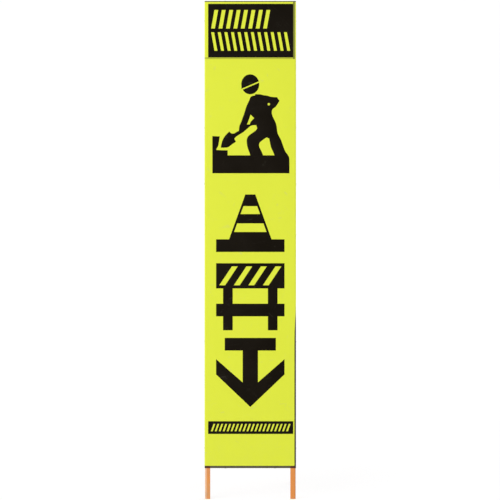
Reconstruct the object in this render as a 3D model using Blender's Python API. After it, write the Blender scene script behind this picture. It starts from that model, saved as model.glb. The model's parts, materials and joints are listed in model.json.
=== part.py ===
"""A slim folding road-works sign: a narrow steel face on an angle-steel frame with a rear stand.

The face leans back, the rear stand leans the other way, and a stay rod hooks over the stand's lower
crossbar to hold it open. Everything fixed to the face is modelled in the face's own frame (x across,
y backwards, z up along the face) and tilted by one empty. The stand and the stay hang on empties of
their own, on the axes about which they turn. Lengths are metres, angles are degrees until used.
"""

import math

import bmesh
import bpy
from mathutils import Vector

# Face sizes
FACE_WIDTH = 0.275
FACE_HEIGHT = 1.400
LEG_BELOW_FACE = 0.100
BARE_LIP = 0.007
SHEET_THICKNESS = 0.0006
FOLD_RADIUS = 0.0015
SHEETING_THICKNESS = 0.0004
SHEETING_MARGIN = 0.0015
SHEETING_CORNER = 0.002
FILM_THICKNESS = 0.0003
FILM_GAP = 0.0002
SEAT_GAP = 0.0003

# Frame sizes, rails by the height of their level flange above the yellow face's lower edge
ANGLE_THICKNESS = 0.002
ANGLE_FRONT = 0.016
ANGLE_SIDE = 0.020
ANGLE_OUTER_RADIUS = 0.004
ANGLE_INNER_RADIUS = 0.0015
RAIL_HEIGHT = 0.016
RAIL_DEPTH = 0.012
LOWER_RAIL_UP = 0.226
MIDDLE_RAIL_UP = 0.616
UPPER_RAIL_UP = 1.016

# Rivet sizes
RIVETS_PER_SIDE = 5
RIVET_END_MARGIN = 0.060
RIVET_SPREAD = 0.150
RIVET_SHANK = 0.0032
RIVET_HEAD = 0.0060
RIVET_HEAD_HEIGHT = 0.0009
RIVET_EDGE_MARGIN = 0.0003
RIVET_TAIL_LIP = 0.0006
RIVET_TAIL_HEIGHT = 0.0022

# Stand sizes
LEAN = 8.0
STAND_LEAN = 8.0
HINGE_HEIGHT = 0.950
BAR = 0.009
EYE = 0.015
EYE_THICKNESS = 0.0045
SIDE_CLEARANCE = 0.00035
UPPER_CROSSBAR_ABOVE_RAIL = 0.034
LOWER_CROSSBAR_BELOW_RAIL = 0.076

# Hinge bolt sizes
BOLT = 0.005
BOLT_HEAD = 0.009
BOLT_HEAD_HEIGHT = 0.002
BOLT_HEAD_CLEARANCE = 0.0005
BOLT_END = 0.001
SPACER = 0.012
WASHER_THICKNESS = 0.001
WASHER = 0.010
NUT_ACROSS_FLATS = 0.008
NUT_HEIGHT = 0.004

# Stay sizes
STAY_ROD = 0.006
STAY_PIN = 0.006
STAY_PIN_HEAD = 0.010
STAY_PIN_HEAD_HEIGHT = 0.002
STAY_EYE_TURN = 255.0
STAY_BEND = 0.0045
STAY_TIP = 0.014
EAR_THICKNESS = 0.002
EAR_RADIUS = 0.007
EAR_CORNER = 0.006

# Domed heads, as (share of the head's half width, share of its height)
DOME = ((0.40, 1.0), (0.76, 0.7), (1.0, 0.0))

# Black block at the top of the face, with two rows of slanted openings
TOP_MARGIN = 0.0086
LEFT_MARGIN = 0.0105
RIGHT_MARGIN = 0.0083
TOP_BLOCK_HEIGHT = 0.1614
ROW_MARGIN = 0.009
ROW_SLANT = 0.010
ROW_BAR_GAP = 0.011
TOP_ROW_BARS = 8
TOP_ROW_LENGTH = 0.178
TOP_ROW_DROP = 0.0184
ROW_HEIGHT = 0.056
ROW_SPACING = 0.011
SECOND_ROW_BARS = 12

# Black strip at the bottom of the face, with one row of slanted openings
STRIP_UP = 0.096
STRIP_HEIGHT = 0.0383
STRIP_BARS = 20
STRIP_BAR_GAP = 0.0065
STRIP_BAR_MARGIN = 0.008

# Large black signs on the face, from the strip upwards, with shares of the free height between them
MARK_MARGIN = 0.0345
MARK_STEM = 0.046
MARK_BAR = 0.038
ARROW_HEIGHT = 0.208
ARROW_HEAD_RISE = 0.098
ARROW_BARB = 0.046
ARROW_CROTCH = 0.074
ARROW_TAIL_INSET = 0.026
BARRIER_HEIGHT = 0.202
BARRIER_POST_INSET = 0.021
BARRIER_POST = 0.029
BARRIER_LOW_BOARD_UP = 0.042
BARRIER_BARS = 4
BARRIER_BAR_GAP = 0.026
BARRIER_BAR_MARGIN = 0.0095
CONE_HEIGHT = 0.173
CONE_SHOULDER_INSET = 0.039
CONE_TOP_HALF = 0.015
CONE_BAND_WALL = 0.007
CONE_BANDS = ((0.022, 0.048), (0.076, 0.100))
WORKER_MARGIN = 0.0215
WORKER_ACROSS = 0.0018
FREE_SHARES = {"arrow": 43, "barrier": 23, "cone": 34, "worker": 64, "top": 51}

# The worker figure in its own units, from the middle of the ground block's lower edge
WORKER_OUTLINE = (
    (13, 238), (30, 238), (37, 235), (50, 234), (59, 230), (79, 229), (86, 218), (80, 208), (74, 199),
    (66, 195), (62, 185), (64, 175), (68, 166), (75, 152), (78, 140), (79, 127), (82, 116), (88, 106),
    (92, 98), (95, 88), (99, 77), (103, 66), (110, 57), (116, 48), (116, 0), (-116, 0), (-116, 112),
    (-94, 111), (-98, 82), (-104, 74), (-104, 70), (-70, 69), (-70, 54), (-2, 54), (-4, 62), (-9, 74),
    (-12, 86), (-13, 101), (-9, 111), (-2, 117), (7, 123), (16, 130), (19, 135), (16, 145), (1, 145),
    (-11, 134), (-24, 123), (-43, 112), (-50, 104), (-45, 95), (-59, 86), (-69, 77), (-91, 77),
    (-87, 97), (-78, 113), (-65, 126), (-60, 120), (-51, 119), (-44, 124), (-36, 128), (-35, 143),
    (-30, 152), (-25, 167), (-20, 180), (-16, 194), (-11, 208), (-5, 219), (-2, 229), (4, 233),
    (12, 234),
)
ARM_GAP = ((-1, 177), (10, 166), (-1, 155), (-4, 147), (-12, 147), (-8, 157), (-4, 168))
LEG_GAP = (
    (37, 54), (34, 61), (30, 70), (25, 79), (24, 88), (29, 96), (41, 104), (47, 108), (55, 105), (57, 95),
    (60, 79), (66, 66), (70, 57), (71, 54),
)
SHOULDER_DOT = (54, 208)
SHOULDER_DOT_RADIUS = 3.7
HEAD_MIDDLE = (-2, 268)
HEAD_HALF_WIDTH = 27.0
HEAD_HALF_HEIGHT = 30.0
BRIM_TILT = 21.0
BRIM_DROP = 4.0
BRIM_GAP = 4.0
BRIM_REACH = 3.0
HEAD_POINTS = 20

# Steps on the round forms, and the angle from which an edge is shown sharp
ROUND_STEPS = 16
EYE_STEPS = 32
FILLET_STEPS = 4
EYE_BENDS = 14
HOOK_BENDS = 6
SHARP_ANGLE = 35.0

# Places across and through the frame that follow from the sizes
LEAN_ANGLE = math.radians(LEAN)
STAND_ANGLE = math.radians(STAND_LEAN)
OPEN_ANGLE = LEAN_ANGLE + STAND_ANGLE
RIVET_HOLE = RIVET_SHANK + 2 * SEAT_GAP
RIVET_TAIL = RIVET_SHANK + 2 * RIVET_TAIL_LIP
RIVET_DEPTH = ANGLE_THICKNESS + ANGLE_INNER_RADIUS + RIVET_TAIL / 2
RETURN_DEPTH = RIVET_DEPTH + RIVET_HEAD / 2 + RIVET_EDGE_MARGIN
BOLT_HOLE = BOLT + 2 * SEAT_GAP
HINGE_DEPTH = RETURN_DEPTH + BOLT_HEAD_CLEARANCE + BOLT_HEAD / 2
HALF_WIDTH = FACE_WIDTH / 2
PANEL_BACK = -SEAT_GAP
PANEL_FRONT = PANEL_BACK - SHEET_THICKNESS
SHEETING_BACK = PANEL_FRONT - SEAT_GAP
SHEETING_FRONT = SHEETING_BACK - SHEETING_THICKNESS
FILM_BACK = SHEETING_FRONT - FILM_GAP
FILM_FRONT = FILM_BACK - FILM_THICKNESS
PANEL_INNER = HALF_WIDTH - SHEET_THICKNESS
FRAME_OUTER = PANEL_INNER - SEAT_GAP
FRAME_INNER = FRAME_OUTER - ANGLE_THICKNESS
FLANGE_EDGE = FRAME_OUTER - ANGLE_FRONT
RAIL_HALF_LENGTH = FLANGE_EDGE - SEAT_GAP
STAND_X = FRAME_INNER - SIDE_CLEARANCE - BAR / 2
EYE_OUTER = STAND_X + EYE_THICKNESS / 2
EYE_INNER = STAND_X - EYE_THICKNESS / 2
SPACER_OUTER = FRAME_INNER - SEAT_GAP
SPACER_INNER = EYE_OUTER + SEAT_GAP
WASHER_OUTER = EYE_INNER - SEAT_GAP
WASHER_INNER = WASHER_OUTER - WASHER_THICKNESS
NUT_OUTER = WASHER_INNER - SEAT_GAP
CROSSBAR_HALF_LENGTH = STAND_X - BAR / 2 - SEAT_GAP

# Heights along the face, from where the front legs meet the ground
FACE_BOTTOM = LEG_BELOW_FACE
PANEL_BOTTOM = FACE_BOTTOM - BARE_LIP
PANEL_TOP = FACE_BOTTOM + FACE_HEIGHT
FRAME_TOP = PANEL_TOP - SHEET_THICKNESS - SEAT_GAP
BOTTOM_RAIL_AT = PANEL_BOTTOM + SHEET_THICKNESS + SEAT_GAP
LOWER_RAIL_AT = FACE_BOTTOM + LOWER_RAIL_UP
MIDDLE_RAIL_AT = FACE_BOTTOM + MIDDLE_RAIL_UP
UPPER_RAIL_AT = FACE_BOTTOM + UPPER_RAIL_UP
UPPER_CROSSBAR_DROP = HINGE_HEIGHT - MIDDLE_RAIL_AT - UPPER_CROSSBAR_ABOVE_RAIL
LOWER_CROSSBAR_DROP = HINGE_HEIGHT - LOWER_RAIL_AT + LOWER_CROSSBAR_BELOW_RAIL

# The open stand, seen from the side with the front legs' front edge at zero
HINGE_WORLD_HEIGHT = HINGE_HEIGHT * math.cos(LEAN_ANGLE) - HINGE_DEPTH * math.sin(LEAN_ANGLE)
HINGE_WORLD_DEPTH = HINGE_DEPTH * math.cos(LEAN_ANGLE) + HINGE_HEIGHT * math.sin(LEAN_ANGLE)
STAND_LENGTH = HINGE_WORLD_HEIGHT / math.cos(STAND_ANGLE)
FOOT_HALF_DEPTH = BAR / 2 / math.cos(STAND_ANGLE)
REACH = HINGE_WORLD_DEPTH + STAND_LENGTH * math.sin(STAND_ANGLE) + FOOT_HALF_DEPTH

# The stay and its bracket
STAY_EYE_RADIUS = STAY_PIN / 2 + SEAT_GAP + STAY_ROD / 2
STAY_HOOK_RADIUS = BAR / 2 + SEAT_GAP + STAY_ROD / 2
BRACKET_BOTTOM = LOWER_RAIL_AT + SEAT_GAP
STAY_PIVOT_DEPTH = HINGE_DEPTH
STAY_PIVOT_HEIGHT = BRACKET_BOTTOM + EAR_THICKNESS + SEAT_GAP + STAY_EYE_RADIUS + STAY_ROD / 2
EAR_INNER = STAY_ROD / 2 + SEAT_GAP
EAR_OUTER = EAR_INNER + EAR_THICKNESS

# The figure's scale, and the free height that the large signs share
WORKER_SPAN = max(a for a, _ in WORKER_OUTLINE) - min(a for a, _ in WORKER_OUTLINE)
WORKER_UNIT = (FACE_WIDTH - 2 * WORKER_MARGIN) / WORKER_SPAN
WORKER_HEIGHT = (HEAD_MIDDLE[1] + HEAD_HALF_HEIGHT) * WORKER_UNIT
FILM_LEFT = LEFT_MARGIN - HALF_WIDTH
FILM_RIGHT = HALF_WIDTH - RIGHT_MARGIN
BLOCK_BOTTOM = FACE_HEIGHT - TOP_MARGIN - TOP_BLOCK_HEIGHT
STRIP_TOP = STRIP_UP + STRIP_HEIGHT
FREE_HEIGHT = BLOCK_BOTTOM - STRIP_TOP - ARROW_HEIGHT - BARRIER_HEIGHT - CONE_HEIGHT - WORKER_HEIGHT
FREE_STEP = FREE_HEIGHT / sum(FREE_SHARES.values())
ARROW_UP = STRIP_TOP + FREE_STEP * FREE_SHARES["arrow"]
BARRIER_UP = ARROW_UP + ARROW_HEIGHT + FREE_STEP * FREE_SHARES["barrier"]
CONE_UP = BARRIER_UP + BARRIER_HEIGHT + FREE_STEP * FREE_SHARES["cone"]
WORKER_UP = CONE_UP + CONE_HEIGHT + FREE_STEP * FREE_SHARES["worker"]

# Materials: colour, roughness, metallic
FINISHES = {
    "panel_paint": ((0.13, 0.13, 0.11), 0.55, 0.0),
    "yellow_sheeting": ((0.76, 0.82, 0.06), 0.35, 0.0),
    "black_film": ((0.013, 0.011, 0.008), 0.45, 0.0),
    "orange_enamel": ((0.80, 0.30, 0.07), 0.40, 0.0),
    "zinc": ((0.62, 0.62, 0.60), 0.35, 1.0),
    "rivet_metal": ((0.70, 0.70, 0.70), 0.38, 1.0),
}


def clear_scene():
    """Remove whatever the file holds."""
    for item in list(bpy.data.objects):
        bpy.data.objects.remove(item, do_unlink=True)


def make_materials():
    """One Principled material for each finish."""
    made = {}
    for name, (colour, roughness, metallic) in FINISHES.items():
        material = bpy.data.materials.new(name)
        material.use_nodes = True
        shader = material.node_tree.nodes["Principled BSDF"]
        shader.inputs["Base Color"].default_value = (*colour, 1.0)
        shader.inputs["Roughness"].default_value = roughness
        shader.inputs["Metallic"].default_value = metallic
        material.diffuse_color = (*colour, 1.0)
        made[name] = material
    return made


def link(name, data, parent):
    """An object with this data, hung on its parent."""
    item = bpy.data.objects.new(name, data)
    bpy.context.scene.collection.objects.link(item)
    item.parent = parent
    return item


def point_out(bm, faces):
    """Turn one closed body's faces outwards, judged by the sign of the volume that they enclose."""
    bmesh.ops.recalc_face_normals(bm, faces=faces)
    volume = 0.0
    for face in faces:
        first = face.verts[0].co
        for one, two in zip(face.verts[1:], face.verts[2:]):
            volume += first.dot(one.co.cross(two.co))
    if volume < 0:
        bmesh.ops.reverse_faces(bm, faces=faces)


def finish_mesh(bm, name):
    """The bmesh as a mesh."""
    mesh = bpy.data.meshes.new(name)
    bm.to_mesh(mesh)
    bm.free()
    return mesh


def add_piece(name, bm, material, parent, smooth=False):
    """A sub-part: its own object with its own copy of the finish."""
    mesh = finish_mesh(bm, name)
    own = material.copy()
    own.name = name + "_finish"
    mesh.materials.append(own)
    if smooth:
        mesh.shade_smooth()
        mesh.set_sharp_from_angle(angle=math.radians(SHARP_ANGLE))
    return link(name, mesh, parent)


def cut(target, bm, name, solver="EXACT"):
    """Take the bmesh's solids out of the target, in the target's own frame.

    The solver is MANIFOLD where EXACT leaves edges open along walls that lie in one plane.
    """
    cutter = link(name, finish_mesh(bm, name), target.parent)
    cutter.location = target.location
    cutter.rotation_euler = target.rotation_euler
    cutter.hide_render = True
    cutter.display_type = "WIRE"
    modifier = target.modifiers.new(name, "BOOLEAN")
    modifier.operation = "DIFFERENCE"
    modifier.solver = solver
    modifier.object = cutter


def join_solid(target, bm, name):
    """Weld the bmesh's solid to the target, so that both are one body."""
    other = link(name, finish_mesh(bm, name), target.parent)
    other.location = target.location
    other.rotation_euler = target.rotation_euler
    other.hide_render = True
    other.display_type = "WIRE"
    modifier = target.modifiers.new(name, "BOOLEAN")
    modifier.operation = "UNION"
    modifier.object = other


def rounded(corners):
    """The outline through (a, b, radius) corners, each with a radius above zero turned into an arc."""
    points = []
    for index, (a, b, radius) in enumerate(corners):
        here = Vector((a, b))
        if radius <= 0:
            points.append((a, b))
            continue
        before = (Vector(corners[index - 1][:2]) - here).normalized()
        after = (Vector(corners[(index + 1) % len(corners)][:2]) - here).normalized()
        half = before.angle(after) / 2
        middle = here + (before + after).normalized() * radius / math.sin(half)
        first = here + before * radius / math.tan(half) - middle
        last = here + after * radius / math.tan(half) - middle
        start = math.atan2(first.y, first.x)
        turn = math.remainder(math.atan2(last.y, last.x) - start, math.tau)
        for step in range(FILLET_STEPS + 1):
            angle = start + turn * step / FILLET_STEPS
            points.append((middle.x + radius * math.cos(angle), middle.y + radius * math.sin(angle)))
    return points


def spot(plane, a, b, along):
    """A point of an outline drawn in the named plane, at a distance along the plane's normal."""
    if plane == "XY":
        return (a, b, along)
    if plane == "YZ":
        return (along, a, b)
    return (a, along, b)


def bridge(bm, near, far):
    """The faces between two loops of as many vertices."""
    count = len(near)
    pairs = [(index, (index + 1) % count) for index in range(count)]
    return [bm.faces.new((near[one], near[two], far[two], far[one])) for one, two in pairs]


def add_prism(bm, outline, start, end, plane):
    """Extrude an outline from start to end along the normal of its plane."""
    near = [bm.verts.new(spot(plane, a, b, start)) for a, b in outline]
    far = [bm.verts.new(spot(plane, a, b, end)) for a, b in outline]
    caps = [bm.faces.new(near), bm.faces.new(far)]
    sides = bridge(bm, near, far)
    for cap in caps:
        cap.normal_update()
    made = bmesh.ops.triangulate(bm, faces=caps, ngon_method="EAR_CLIP")["faces"]
    point_out(bm, made + sides)


def prism(outline, start, end, plane):
    """A bmesh that holds one prism."""
    bm = bmesh.new()
    add_prism(bm, outline, start, end, plane)
    return bm


def box_outline(a_low, a_high, b_low, b_high):
    """The four corners of a rectangle."""
    return [(a_low, b_low), (a_high, b_low), (a_high, b_high), (a_low, b_high)]


def circle_outline(a, b, radius, steps=ROUND_STEPS):
    """A circle as a polygon."""
    turns = [math.tau * step / steps for step in range(steps)]
    return [(a + radius * math.cos(turn), b + radius * math.sin(turn)) for turn in turns]


def add_shell(bm, loops, ring=False):
    """Join loops of vertices into one closed body, with flat ends unless it is a ring."""
    pairs = list(zip(loops, loops[1:]))
    faces = []
    if ring:
        pairs.append((loops[-1], loops[0]))
    else:
        faces += [bm.faces.new(loops[0]), bm.faces.new(loops[-1])]
    for near, far in pairs:
        faces += bridge(bm, near, far)
    point_out(bm, faces)


def add_turned(bm, profile, middle, ring=False):
    """Turn a profile of (x, radius) points about an axis along X through middle, a (y, z) point.

    A ring's profile is a closed loop. Any other profile is closed by a flat cap at each end.
    """
    loops = []
    for along, radius in profile:
        outline = circle_outline(middle[0], middle[1], radius)
        loops.append([bm.verts.new((along, y, z)) for y, z in outline])
    add_shell(bm, loops, ring)


def turned(profile, middle, ring=False):
    """A bmesh that holds one turned solid."""
    bm = bmesh.new()
    add_turned(bm, profile, middle, ring)
    return bm


def ring_profile(x_low, x_high, inner, outer):
    """The section of a washer: a rectangle between two radii."""
    return [(x_low, inner), (x_high, inner), (x_high, outer), (x_low, outer)]


def tube_along(bm, path, radius):
    """A round rod along points in the YZ plane at x = 0, closed by a flat cap at each end."""
    loops = []
    for index, point in enumerate(path):
        before = path[max(index - 1, 0)]
        after = path[min(index + 1, len(path) - 1)]
        ahead = (after - before).normalized()
        across = Vector((-ahead.y, ahead.x))
        loop = []
        for step in range(ROUND_STEPS):
            turn = math.tau * step / ROUND_STEPS
            offset = across * radius * math.sin(turn)
            loop.append(bm.verts.new((radius * math.cos(turn), point.x + offset.x, point.y + offset.y)))
        loops.append(loop)
    add_shell(bm, loops)


def arc(middle, radius, start, turn, steps):
    """Points on an arc about middle, from the start angle through the turn."""
    angles = [start + turn * step / steps for step in range(steps + 1)]
    return [middle + Vector((math.cos(a), math.sin(a))) * radius for a in angles]


def rivet_heights():
    """The heights of the side rivets, evenly spaced up the face."""
    low = PANEL_BOTTOM + RIVET_END_MARGIN
    high = PANEL_TOP - RIVET_END_MARGIN
    return [low + (high - low) * index / (RIVETS_PER_SIDE - 1) for index in range(RIVETS_PER_SIDE)]


def rivet_across():
    """The x places of the rivets along the top and bottom returns."""
    return (-RIVET_SPREAD / 2, RIVET_SPREAD / 2)


def build_face_panel(finish, frame):
    """The folded sheet: a shallow tray, open at the back, notched where the legs pass down."""
    outline = rounded([
        (-HALF_WIDTH, PANEL_FRONT, FOLD_RADIUS),
        (HALF_WIDTH, PANEL_FRONT, FOLD_RADIUS),
        (HALF_WIDTH, RETURN_DEPTH, 0),
        (-HALF_WIDTH, RETURN_DEPTH, 0),
    ])
    panel = add_piece("face_panel", prism(outline, PANEL_BOTTOM, PANEL_TOP, "XY"), finish, frame)
    open_back = RETURN_DEPTH + SHEET_THICKNESS
    inner_fold = FOLD_RADIUS - SHEET_THICKNESS
    hollow = rounded([
        (-PANEL_INNER, PANEL_BACK, inner_fold),
        (PANEL_INNER, PANEL_BACK, inner_fold),
        (PANEL_INNER, open_back, 0),
        (-PANEL_INNER, open_back, 0),
    ])
    low = PANEL_BOTTOM + SHEET_THICKNESS
    high = PANEL_TOP - SHEET_THICKNESS
    cut(panel, prism(hollow, low, high, "XY"), "panel_hollow")

    notches = bmesh.new()
    for side in (-1, 1):
        edges = sorted((side * (FLANGE_EDGE - SEAT_GAP), side * PANEL_INNER))
        notch = box_outline(edges[0], edges[1], PANEL_BACK, open_back)
        add_prism(notches, notch, PANEL_BOTTOM - SHEET_THICKNESS, low + SHEET_THICKNESS, "XY")
    cut(panel, notches, "leg_notches", solver="MANIFOLD")

    holes = bmesh.new()
    for height in rivet_heights():
        ring = circle_outline(RIVET_DEPTH, height, RIVET_HOLE / 2)
        for side in (-1, 1):
            ends = sorted((side * (HALF_WIDTH + SHEET_THICKNESS), side * (PANEL_INNER - SHEET_THICKNESS)))
            add_prism(holes, ring, ends[0], ends[1], "YZ")
    for across in rivet_across():
        ring = circle_outline(across, RIVET_DEPTH, RIVET_HOLE / 2)
        add_prism(holes, ring, high - SHEET_THICKNESS, PANEL_TOP + SHEET_THICKNESS, "XY")
        add_prism(holes, ring, PANEL_BOTTOM - SHEET_THICKNESS, low + SHEET_THICKNESS, "XY")
    cut(panel, holes, "panel_rivet_holes")


def build_sheeting(finish, frame):
    """The reflective sheeting on the face, down to the bare lip."""
    half = HALF_WIDTH - SHEETING_MARGIN
    top = PANEL_TOP - SHEETING_MARGIN
    outline = rounded([
        (-half, FACE_BOTTOM, SHEETING_CORNER),
        (half, FACE_BOTTOM, SHEETING_CORNER),
        (half, top, SHEETING_CORNER),
        (-half, top, SHEETING_CORNER),
    ])
    add_piece("reflective_sheet", prism(outline, SHEETING_FRONT, SHEETING_BACK, "XZ"), finish, frame)


def build_upright(side, name, finish, frame):
    """One upright: an angle whose lower end is cut to stand flat on the ground, as the front leg."""
    outline = rounded([
        (side * FRAME_OUTER, 0.0, ANGLE_OUTER_RADIUS),
        (side * FRAME_OUTER, ANGLE_SIDE, 0),
        (side * FRAME_INNER, ANGLE_SIDE, 0),
        (side * FRAME_INNER, ANGLE_THICKNESS, ANGLE_INNER_RADIUS),
        (side * FLANGE_EDGE, ANGLE_THICKNESS, 0),
        (side * FLANGE_EDGE, 0.0, 0),
    ])
    bm = prism(outline, 0.0, FRAME_TOP, "XY")
    for vertex in bm.verts:
        if vertex.co.z < FACE_BOTTOM:
            vertex.co.z = vertex.co.y * math.tan(LEAN_ANGLE)
    upright = add_piece(name, bm, finish, frame, smooth=True)
    holes = bmesh.new()
    ends = sorted((side * (FRAME_OUTER + SHEET_THICKNESS), side * (FRAME_INNER - SHEET_THICKNESS)))
    for height in rivet_heights():
        add_prism(holes, circle_outline(RIVET_DEPTH, height, RIVET_HOLE / 2), ends[0], ends[1], "YZ")
    bolt_hole = circle_outline(HINGE_DEPTH, HINGE_HEIGHT, BOLT_HOLE / 2)
    add_prism(holes, bolt_hole, ends[0], ends[1], "YZ")
    cut(upright, holes, name + "_holes")


def build_rail(name, edge, up, finish, frame, holes_across=()):
    """A cross rail: an angle with its level flange at edge, and its other flange up or down from it."""
    sense = 1 if up else -1
    outline = [
        (0.0, edge),
        (RAIL_DEPTH, edge),
        (RAIL_DEPTH, edge + sense * ANGLE_THICKNESS),
        (ANGLE_THICKNESS, edge + sense * ANGLE_THICKNESS),
        (ANGLE_THICKNESS, edge + sense * RAIL_HEIGHT),
        (0.0, edge + sense * RAIL_HEIGHT),
    ]
    rail = add_piece(name, prism(outline, -RAIL_HALF_LENGTH, RAIL_HALF_LENGTH, "YZ"), finish, frame)
    if holes_across:
        holes = bmesh.new()
        for across in holes_across:
            ring = circle_outline(across, RIVET_DEPTH, RIVET_HOLE / 2)
            add_prism(holes, ring, edge - 2 * ANGLE_THICKNESS, edge + 2 * ANGLE_THICKNESS, "XY")
        cut(rail, holes, name + "_holes")


def dome(seat, height, width):
    """A domed head's profile, from its top to its seat; a negative height puts its top below the seat."""
    return [(seat + height * rise, width / 2 * share) for share, rise in DOME]


def rivet_profile():
    """A blind rivet from its head to its tail, as (distance inwards from the sheet, radius)."""
    inside = SHEET_THICKNESS + SEAT_GAP + ANGLE_THICKNESS + SEAT_GAP
    head = dome(-SEAT_GAP, -RIVET_HEAD_HEIGHT, RIVET_HEAD)
    tail = dome(inside, RIVET_TAIL_HEIGHT, RIVET_TAIL)
    return head + [(-SEAT_GAP, RIVET_SHANK / 2), (inside, RIVET_SHANK / 2)] + tail[::-1]


def build_rivets(finish, frame):
    """The rivets through the side returns, and those through the top and bottom returns."""
    for side, word in ((-1, "left"), (1, "right")):
        profile = [(side * (HALF_WIDTH - depth), radius) for depth, radius in rivet_profile()]
        for number, height in enumerate(rivet_heights(), start=1):
            name = "rivet_" + word + "_" + str(number)
            add_piece(name, turned(profile, (RIVET_DEPTH, height)), finish, frame, smooth=True)
    for end, outer, sense in (("top", PANEL_TOP, -1), ("bottom", PANEL_BOTTOM, 1)):
        for across, word in zip(rivet_across(), ("left", "right")):
            bm = bmesh.new()
            add_turned(bm, rivet_profile(), (0.0, 0.0))
            for vertex in bm.verts:
                depth, aside, back = vertex.co
                vertex.co = (across + aside, RIVET_DEPTH + back, outer + sense * depth)
            if sense < 0:
                bmesh.ops.reverse_faces(bm, faces=bm.faces)
            add_piece("rivet_" + end + "_" + word, bm, finish, frame, smooth=True)


def build_stand_leg(side, name, finish, stand):
    """One round rear leg, with a flattened eye at the hinge and a foot cut flat to the ground."""
    bm = bmesh.new()
    top = [bm.verts.new((x, y, 0.0)) for x, y in circle_outline(side * STAND_X, 0.0, BAR / 2)]
    foot = []
    for x, y in circle_outline(side * STAND_X, 0.0, BAR / 2):
        foot.append(bm.verts.new((x, y, -STAND_LENGTH - y * math.tan(STAND_ANGLE))))
    add_shell(bm, [top, foot])
    leg = add_piece(name, bm, finish, stand, smooth=True)
    ends = sorted((side * EYE_OUTER, side * EYE_INNER))
    trim = bmesh.new()
    for low, high in ((side * STAND_X - BAR, ends[0]), (ends[1], side * STAND_X + BAR)):
        add_prism(trim, box_outline(low, high, -EYE, EYE), -EYE / 2, EYE, "XY")
    cut(leg, trim, name + "_flats")
    eye = prism(circle_outline(0.0, 0.0, EYE / 2, EYE_STEPS), ends[0], ends[1], "YZ")
    join_solid(leg, eye, name + "_eye")
    hole = prism(circle_outline(0.0, 0.0, BOLT_HOLE / 2), ends[0] - BAR, ends[1] + BAR, "YZ")
    cut(leg, hole, name + "_hole")


def build_crossbar(name, drop, finish, stand):
    """A round bar between the rear legs."""
    bar = circle_outline(0.0, -drop, BAR / 2)
    bm = prism(bar, -CROSSBAR_HALF_LENGTH, CROSSBAR_HALF_LENGTH, "YZ")
    add_piece(name, bm, finish, stand, smooth=True)


def build_hinge_hardware(side, word, finish, frame):
    """The bolt, spacer, washer and lock nut that carry one rear leg."""
    middle = (HINGE_DEPTH, HINGE_HEIGHT)
    head_seat = FRAME_OUTER + SEAT_GAP
    end = NUT_OUTER - NUT_HEIGHT - BOLT_END
    profile = dome(head_seat, BOLT_HEAD_HEIGHT, BOLT_HEAD) + [(head_seat, BOLT / 2), (end, BOLT / 2)]
    bolt = turned([(side * x, radius) for x, radius in profile], middle)
    add_piece("hinge_bolt_" + word, bolt, finish, frame, smooth=True)
    rings = (
        ("hinge_spacer_", SPACER_INNER, SPACER_OUTER, SPACER),
        ("hinge_washer_", WASHER_INNER, WASHER_OUTER, WASHER),
    )
    for name, inner, outer, width in rings:
        section = ring_profile(side * inner, side * outer, BOLT_HOLE / 2, width / 2)
        add_piece(name + word, turned(section, middle, ring=True), finish, frame, smooth=True)
    across_corners = NUT_ACROSS_FLATS / math.cos(math.pi / 6)
    hexagon = circle_outline(middle[0], middle[1], across_corners / 2, 6)
    ends = sorted((side * NUT_OUTER, side * (NUT_OUTER - NUT_HEIGHT)))
    nut = add_piece("hinge_nut_" + word, prism(hexagon, ends[0], ends[1], "YZ"), finish, frame)
    hole = circle_outline(middle[0], middle[1], BOLT_HOLE / 2)
    cut(nut, prism(hole, ends[0] - BOLT, ends[1] + BOLT, "YZ"), "hinge_nut_hole_" + word)


def crossbar_from_stay():
    """The middle of the open stand's lower crossbar, seen from the stay's pivot, as (back, up)."""
    back = HINGE_DEPTH + LOWER_CROSSBAR_DROP * math.sin(OPEN_ANGLE)
    up = HINGE_HEIGHT - LOWER_CROSSBAR_DROP * math.cos(OPEN_ANGLE)
    return Vector((back - STAY_PIVOT_DEPTH, up - STAY_PIVOT_HEIGHT))


def build_stay(finish, stay):
    """The stay rod: an eye bent round its pin, and a straight shank bent down behind the crossbar.

    The shank is the upper common tangent of the circles round the pin and round the crossbar, and
    the tip hangs straight down, so the crossbar lies in the corner of the hook.
    """
    bar = crossbar_from_stay()
    ahead = bar.normalized()
    square = Vector((-ahead.y, ahead.x))
    sine = (STAY_HOOK_RADIUS - STAY_EYE_RADIUS) / bar.length
    normal = square * math.sqrt(1 - sine * sine) - ahead * sine
    along = Vector((normal.y, -normal.x))
    down = Vector((math.sin(LEAN_ANGLE), -math.cos(LEAN_ANGLE)))
    bend = along.angle(down)
    corner = bar + (normal + along * math.tan(bend / 2)) * STAY_HOOK_RADIUS
    bend_middle = corner + (bar - corner) * STAY_BEND / STAY_HOOK_RADIUS
    facing = math.atan2(normal.y, normal.x)
    eye_turn = math.radians(STAY_EYE_TURN)
    path = arc(Vector((0.0, 0.0)), STAY_EYE_RADIUS, facing + eye_turn, -eye_turn, EYE_BENDS)
    hook = arc(bend_middle, STAY_BEND, facing, -bend, HOOK_BENDS)
    path += hook
    path.append(hook[-1] + down * STAY_TIP)
    bm = bmesh.new()
    tube_along(bm, path, STAY_ROD / 2)
    add_piece("stay_rod", bm, finish, stay, smooth=True)


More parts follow.
